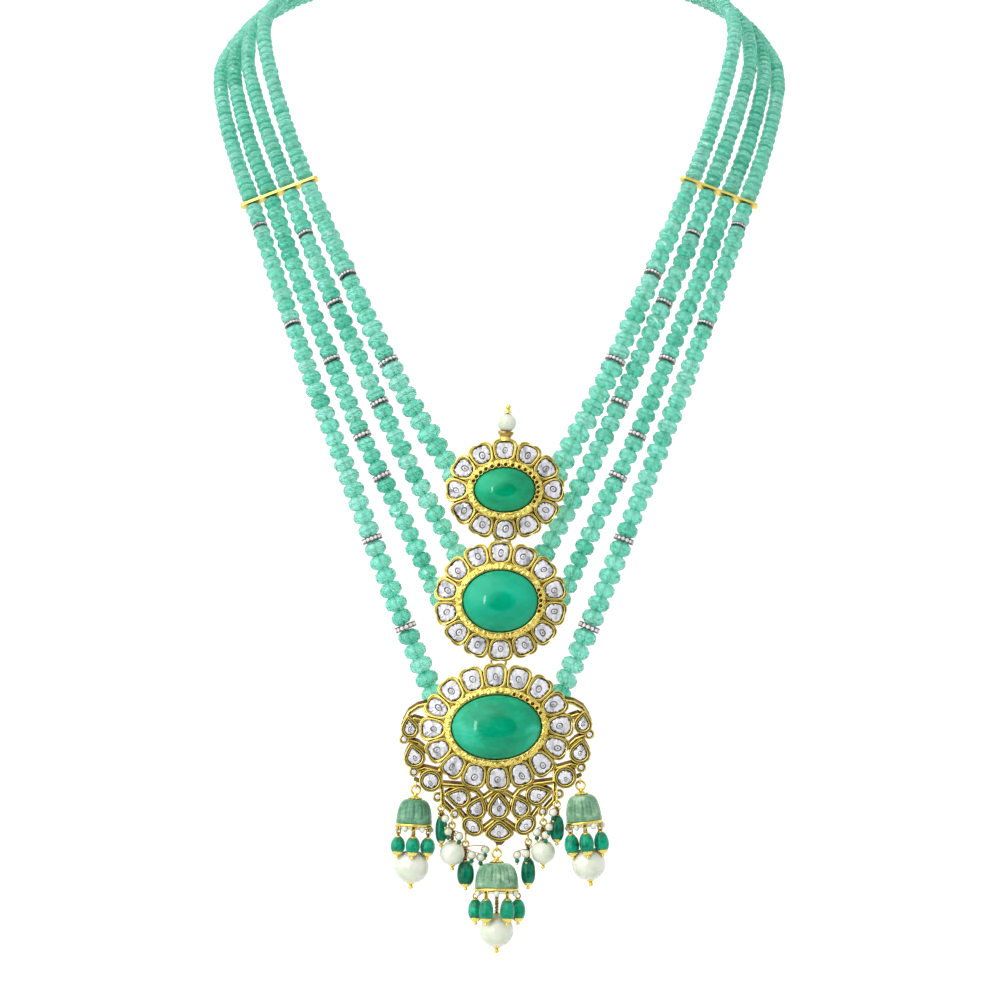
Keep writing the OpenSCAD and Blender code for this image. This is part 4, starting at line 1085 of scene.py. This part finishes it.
def dishMesh(wide, high, scallops, ball):
    # shallow fluted dish under a drop, with a ball below it; the drop's low point is at z = 0
    neck = -0.62
    cup = [(0, -0.3), (0.4 * wide, -0.14), (0.82 * wide, 0.5 * high), (0.94 * wide, 0.86 * high),
           (wide, high), (1.02 * wide, 0.72 * high), (0.86 * wide, 0.2 * high), (0.55 * wide, -0.36),
           (0.3 * wide, -0.5), (0.26 * wide, neck)]
    steps = [radians(t) for t in range(40, -90, -20)]
    sphere = [(ball * cos(t), neck - ball * 0.75 + ball * sin(t)) for t in steps] + [(0, neck - 1.75 * ball)]
    return turnedMesh("flutedDish", cup + sphere, 40, grooved(scallops, 0.12, 0.5 * wide))


bellRing = ringMesh("bellRing", bellParts["ring"], bellParts["wire"])
smallLoop = ringMesh("smallLoop", 0.68, 0.42, 20, 8)
wrapLoop = ringMesh("wrapLoop", 0.5, 0.28, 18, 6)
seedPearl = ballMesh("seedPearl", 1, 18, 12)
goldBall = ballMesh("goldBall", 1, 14, 10)
dropDish = dishMesh(1.75, 0.75, 10, 0.55)
dropCollar = turnedMesh("dropCollar", [(0, 0.5), (0.35, 0.45), (0.5, 0.25), (0.95, 0.02), (1.0, -0.14),
                                       (0, -0.14)], 20)
domeCap = turnedMesh("domeCap", [(0, 0), (2.15, 0), (2.3, 0.12), (2.2, 0.32), (1.6, 0.5), (1.1, 0.72),
                                 (0.7, 1.0), (0.5, 1.3), (0.5, 1.75), (0, 1.85)], 40, grooved(8, 0.16, 1.5))
lugSeat = 0.73       # from a lug's middle down to where a ring's wire hangs
toBack = Vector((0, 1, 0))
sideways = Matrix.Rotation(radians(90), 4, "X")
edgewise = Matrix.Rotation(radians(90), 4, "Y")
stretched = Matrix.Diagonal((1, 1, 1.25, 1))
# loops from a bell's rim down to a drop: mesh, fall below the rim, turn and finish
dropChain = [(smallLoop, 1.35, edgewise, 0), (smallLoop, 2.45, stretched @ sideways, 1),
             (wrapLoop, 3.3, edgewise, 1)]


def addWraps(bm, matrix, top, low, finish=0):
    # turns of fine wire round a stem
    count = max(2, int((top - low) / 0.34))
    for k in range(count):
        nod, sway = [Matrix.Rotation(radians(rng.uniform(-16, 16)), 4, axis) for axis in "XY"]
        place = matrix @ shift(0, 0, along(low, top, (k + 0.5) / count))
        stampMesh(bm, wrapLoop, place @ nod @ sway, finish)


for side, bell in bells.items():
    frameOf, body = bellFrame(bell), side + "_bell"
    rim, r, circle = bellParts["top"] - bell["high"], bell["wide"], bell["circle"]
    angles = [radians(bell["first"] + 60 * k) for k in range(6)]
    dropZ, pearlZ = rim - bellParts["dropFall"], rim - bellParts["pearlFall"]
    dropLong = bellParts["dropLong"] + bell["longer"]

    bm = bmesh.new()
    stampMesh(bm, domeMesh(bell), frameOf @ shift(0, 0, rim + 0.1))
    dome = finishPiece(side + "_carved_dome", bm, [bell["stone"]], body)
    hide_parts(side + "_bell_dome")

    bm = bmesh.new()
    ringZ = bellParts["wire"] / 2 - bellParts["ring"] - lugSeat
    stampMesh(bm, bellRing, frameOf @ shift(0, 0, ringZ) @ sideways, 0)
    stampMesh(bm, domeCap, frameOf @ shift(0, 0, bellParts["top"] + 0.12), 0)
    band = [(0.3, -0.3), (r - 1.1, -0.35), (r - 0.6, -0.75), (r - 0.15, -0.95), (r + 0.2, -0.7),
            (r + 0.26, -0.3), (r + 0.05, 0.02), (0.3, 0.05)]
    stampMesh(bm, turnedMesh("rimBand", band, 72, looped=True), frameOf @ shift(0, 0, rim), 0)
    pin = [frameOf @ Vector((0, 0, z)) for z in (rim, rim - 3, pearlZ - bellParts["pearl"] / 2 - 0.6)]
    tubeAlong(bm, pin, 0.3, 10, 1, toBack)
    addWraps(bm, frameOf, rim - bellParts["wrapsFrom"], rim - bellParts["wrapsTo"], 1)
    stampMesh(bm, ringMesh("pearlWire", circle, 0.24, 60, 6),
              frameOf @ shift(0, 0, rim - bellParts["wireFall"]), 1)
    for angle in angles:
        place = frameOf @ Matrix.Rotation(angle, 4, "Z") @ shift(circle, 0, 0)
        for mesh, fall, turn, finish in dropChain:
            stampMesh(bm, mesh, place @ shift(0, 0, rim - fall) @ turn, finish)
        stampMesh(bm, dropCollar, place @ shift(0, 0, dropZ + dropLong / 2 + 0.05), 0)
        stampMesh(bm, dropDish, place @ shift(0, 0, dropZ - dropLong / 2), 0)
    low = pearlZ - bellParts["pearl"] / 2
    stampMesh(bm, dishMesh(1.55, 0.35, 6, 0.72), frameOf @ shift(0, 0, low + 0.1), 0)
    stampMesh(bm, dropCollar, frameOf @ shift(0, 0, pearlZ + bellParts["pearl"] / 2 + 0.05), 0)
    goldWork = finishPiece(side + "_bell_goldwork", bm, [polishedGold, brownerGold], body)
    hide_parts(side + "_bell_gold")

    bm = bmesh.new()
    for angle in angles:
        wide = bellParts["dropWide"] * rng.uniform(0.94, 1.03)
        melon = turnedMesh("melonDrop", eggProfile(wide, dropLong), 48, grooved(8, bellParts["melon"]))
        spin = Matrix.Rotation(rng.uniform(0, 1), 4, "Z")
        stampMesh(bm, melon, frameOf @ Matrix.Rotation(angle, 4, "Z") @ shift(circle, 0, dropZ) @ spin)
    drops = finishPiece(side + "_bell_emeralds", bm, [brightDrop], body)
    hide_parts(side + "_bell_drops")

    bm = bmesh.new()
    stampMesh(bm, ballMesh("largePearl", bellParts["pearl"] / 2, 64, 40),
              frameOf @ shift(0, 0, pearlZ) @ Matrix.Diagonal((1, 0.99, 0.985, 1)))
    pearl = finishPiece(side + "_large_pearl", bm, [greenishPearl], body)
    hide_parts(side + "_bell_pearl")

    bm = bmesh.new()
    for angle in angles:
        turn = Matrix.Rotation(angle + radians(30), 4, "Z")
        stampMesh(bm, seedPearl, frameOf @ turn @ shift(circle, 0, rim - bellParts["seedFall"])
                  @ Matrix.Scale(bellParts["seed"] * rng.uniform(0.92, 1.06), 4))
    finishPiece(side + "_bell_seed_pearls", bm, [greenishPearl], body)

# small drops and their clusters of seed pearls and tiny beads

# each drop: x, lug z, depth from the face, stone's middle z, width, length, and its seeds' x, z and depth
smallDrops = {
    "left": [(-17.4, -234.4, 3.2, -242.2, 3.6, 7.6, [(-16.2, -238.9, 5.6)]),
             (-14.1, -239.6, 2.7, -249.3, 7.4, 7.4, [(-15.3, -242.8, 5.4), (-12.0, -244.2, 4.6)]),
             (-10.1, -245.2, 0.7, -255.4, 5.2, 7.3,
              [(-8.3, -249.9, 3.4), (-5.6, -250.6, 2.4), (-4.2, -248.3, 1.6)])],
    "right": [(17.3, -233.2, 3.2, -241.8, 4.4, 7.5, [(16.2, -237.0, 5.4), (14.9, -241.4, 5.6)]),
              (13.2, -238.6, 2.7, -248.9, 7.2, 7.2, [(11.3, -243.0, 4.6), (13.9, -243.8, 5.2)]),
              (8.7, -244.6, 0.7, -254.9, 4.4, 7.7, [(5.4, -249.9, 2.2), (8.1, -249.5, 3.2)])]}
cluster = {"ring": 0.95, "wire": 0.6, "pearl": 1.15, "bead": 0.72, "dot": 0.36, "fine": 0.16, "loops": 9,
           "pearlFrom": 7}
dropRing = ringMesh("dropRing", cluster["ring"], cluster["wire"], 24, 8)
seedHoop = ringMesh("seedHoop", cluster["pearl"] + 0.1, 0.22, 24, 6)
flutedCollar = turnedMesh("flutedCollar", [(0, 0.6), (0.35, 0.5), (0.6, 0.3), (1.1, 0.04), (1.15, -0.16),
                                           (0, -0.16)], 24, grooved(8, 0.14, 0.8))

for side, drops in smallDrops.items():
    gold, seeds, stones = bmesh.new(), bmesh.new(), bmesh.new()
    for x, lugZ, depth, stoneZ, wide, long, hung in drops:
        place = shift(x, faceY - depth, 0)
        ringZ = lugZ - lugSeat + cluster["wire"] / 2 - cluster["ring"]
        top, low = stoneZ + long / 2, stoneZ - long / 2
        stampMesh(gold, dropRing, place @ shift(0, 0, ringZ) @ sideways, 0)
        foot = ringZ - cluster["ring"]
        stem = [place @ Vector((0, 0, z)) for z in (foot, top, low - 0.5)]
        tubeAlong(gold, stem, 0.26, 8, 1, toBack)
        addWraps(gold, place, foot - 0.2, top + 0.5, 1)
        for k in range(cluster["loops"]):      # loose turns of wire round the top of the stem
            turn = Matrix.Rotation(rng.uniform(0, pi), 4, "X") @ Matrix.Rotation(rng.uniform(0, pi), 4, "Y")
            up = along(top + 0.8, foot, rng.random())
            aside = shift(rng.uniform(-0.8, 0.8), rng.uniform(-1.2, 0.2), up)
            stampMesh(gold, wrapLoop, place @ aside @ turn, 1)
        stampMesh(gold, flutedCollar, place @ shift(0, 0, top + 0.05), 0)
        if wide > cluster["pearlFrom"]:       # the round pearl of the group
            stampMesh(stones, ballMesh("roundPearl", wide / 2, 48, 32), place @ shift(0, 0, stoneZ), 1)
            stampMesh(gold, dishMesh(1.25, 0.3, 6, 0.6), place @ shift(0, 0, low + 0.08), 0)
        else:
            melon = turnedMesh("melonDrop", eggProfile(wide, long, 0.05, 0.62), 48, grooved(8, 0.045))
            stampMesh(stones, melon, place @ shift(0, 0, stoneZ), 0)
            stampMesh(gold, dishMesh(0.34 * wide, 0.5, 8, 0.55), place @ shift(0, 0, low), 0)
        for sx, sz, sDepth in hung:
            seed = Vector((sx, faceY - sDepth, sz))
            start = place @ Vector((0, -0.3, min(foot, max(top + 0.5, sz + 1.4))))
            knee = start.lerp(seed, 0.5) + Vector((0, -0.25, 0.9))
            wire = smoothRoute([start, knee, seed + Vector((0, 0, cluster["pearl"]))], 6)
            tubeAlong(gold, wire, cluster["fine"], 6, 1, toBack)
            stampMesh(seeds, seedPearl, shift(*seed) @ Matrix.Scale(cluster["pearl"], 4), 0)
            nod = Matrix.Rotation(rng.uniform(0.9, 2.2), 4, "X")
            sway = Matrix.Rotation(rng.uniform(-0.5, 0.5), 4, "Y")
            stampMesh(gold, seedHoop, shift(*seed) @ nod @ sway, 1)
            bead = seed - Vector((0, 0, cluster["pearl"] + cluster["bead"] * 0.8))
            stampMesh(seeds, seedPearl, shift(*bead) @ Matrix.Scale(cluster["bead"], 4), 1)
            dot = bead - Vector((0, 0, cluster["bead"] + cluster["dot"] * 0.7))
            stampMesh(gold, goldBall, shift(*dot) @ Matrix.Scale(cluster["dot"], 4), 0)
            tubeAlong(gold, [seed, dot], 0.1, 6, 1, toBack)
    wires = finishPiece(side + "_drop_goldwork", gold, [polishedGold, brownerGold], "necklace")
    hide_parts(side + "_drop_wires")
    gems = finishPiece(side + "_drop_gems", stones, [deepDrop, greenishPearl], "necklace")
    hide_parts(side + "_drop_stones")
    finishPiece(side + "_seed_cluster", seeds, [greenishPearl, deepDrop], "necklace")

# finial pearl and clasp

finial = {"up": 14.4, "lean": -6, "out": 1.6, "cup": 2.7, "pearl": 5.7, "balls": 16, "ballRing": 1.5,
          "ball": 0.26}
finialFrame = (faceMatrix(medallions["top"]) @ shift(0, finial["up"], finial["out"])
               @ Matrix.Rotation(radians(finial["lean"]), 4, "Z") @ Matrix.Rotation(radians(-90), 4, "X"))
bm = bmesh.new()
stampMesh(bm, ballMesh("finialPearl", finial["pearl"] / 2, 48, 32),
          finialFrame @ shift(0, 0, finial["cup"] + 0.16 + finial["pearl"] / 2))
pearl = finishPiece("finial_round_pearl", bm, [greenishPearl], "necklace")
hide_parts("finial_pearl")
bm = bmesh.new()
collar = [(1.25, 1.1), (1.5, 1.25), (1.62, 1.5), (1.9, 1.9), (2.3, 2.35), (2.42, 2.7), (2.36, 3.0),
          (2.2, 3.16), (2.05, 3.0), (1.7, 2.6), (1.2, 2.3)]
stampMesh(bm, turnedMesh("finialCup", collar, 48, looped=True), finialFrame, 0)
r = finial["ballRing"]
for angle in [2 * pi * k / finial["balls"] for k in range(finial["balls"])]:
    place = finialFrame @ shift(r * cos(angle), r * sin(angle), r)
    stampMesh(bm, goldBall, place @ Matrix.Scale(finial["ball"], 4), 0)
finishPiece("finial_cup", bm, [brownerGold], "necklace")

claspBox = {"at": (0, 68.5, 22.3), "size": (9.2, 20.2, 5.4), "round": 0.9, "border": 0.8, "groove": 0.12,
            "deep": 0.18}
bm = bmesh.new()
bmesh.ops.create_cube(bm, size=1, matrix=shift(*claspBox["at"]) @ Matrix.Diagonal((*claspBox["size"], 1)))
bmesh.ops.bevel(bm, geom=bm.edges[:], offset=claspBox["round"], affect="EDGES", segments=4, profile=0.5,
                material=-1)
lid = [f for f in bm.faces if f.normal.z > 0.99 and f.calc_area() > 20]
bmesh.ops.inset_region(bm, faces=lid, thickness=claspBox["border"], depth=0)
for depth in (-claspBox["deep"], claspBox["deep"]):
    bmesh.ops.inset_region(bm, faces=lid, thickness=claspBox["groove"], depth=depth)
clasp = finishPiece("bevelled_clasp", bm, [polishedGold], "necklace")
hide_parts("clasp")

# finish of the source's own nodes, by the first word of the list that is in a node's name
nodeFinishes = (("polki", uncutDiamond), ("top_cabochon", topStone), ("middle_cabochon", middleStone),
                ("bottom_cabochon", bottomStone), ("dome", domeStone), ("thread", paleSilk),
                ("pearl", greenishPearl), ("bell_drops", brightDrop), ("drop_stones", brightDrop),
                ("strand", mintEmerald), ("neck", mintEmerald), ("rondelles", darkFoil), ("link", brownerGold),
                ("", polishedGold))
for nodeName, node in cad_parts.items():
    for slot in node.material_slots:
        slot.material = next(finish for word, finish in nodeFinishes if word in nodeName)
print("all nodes have a finish")
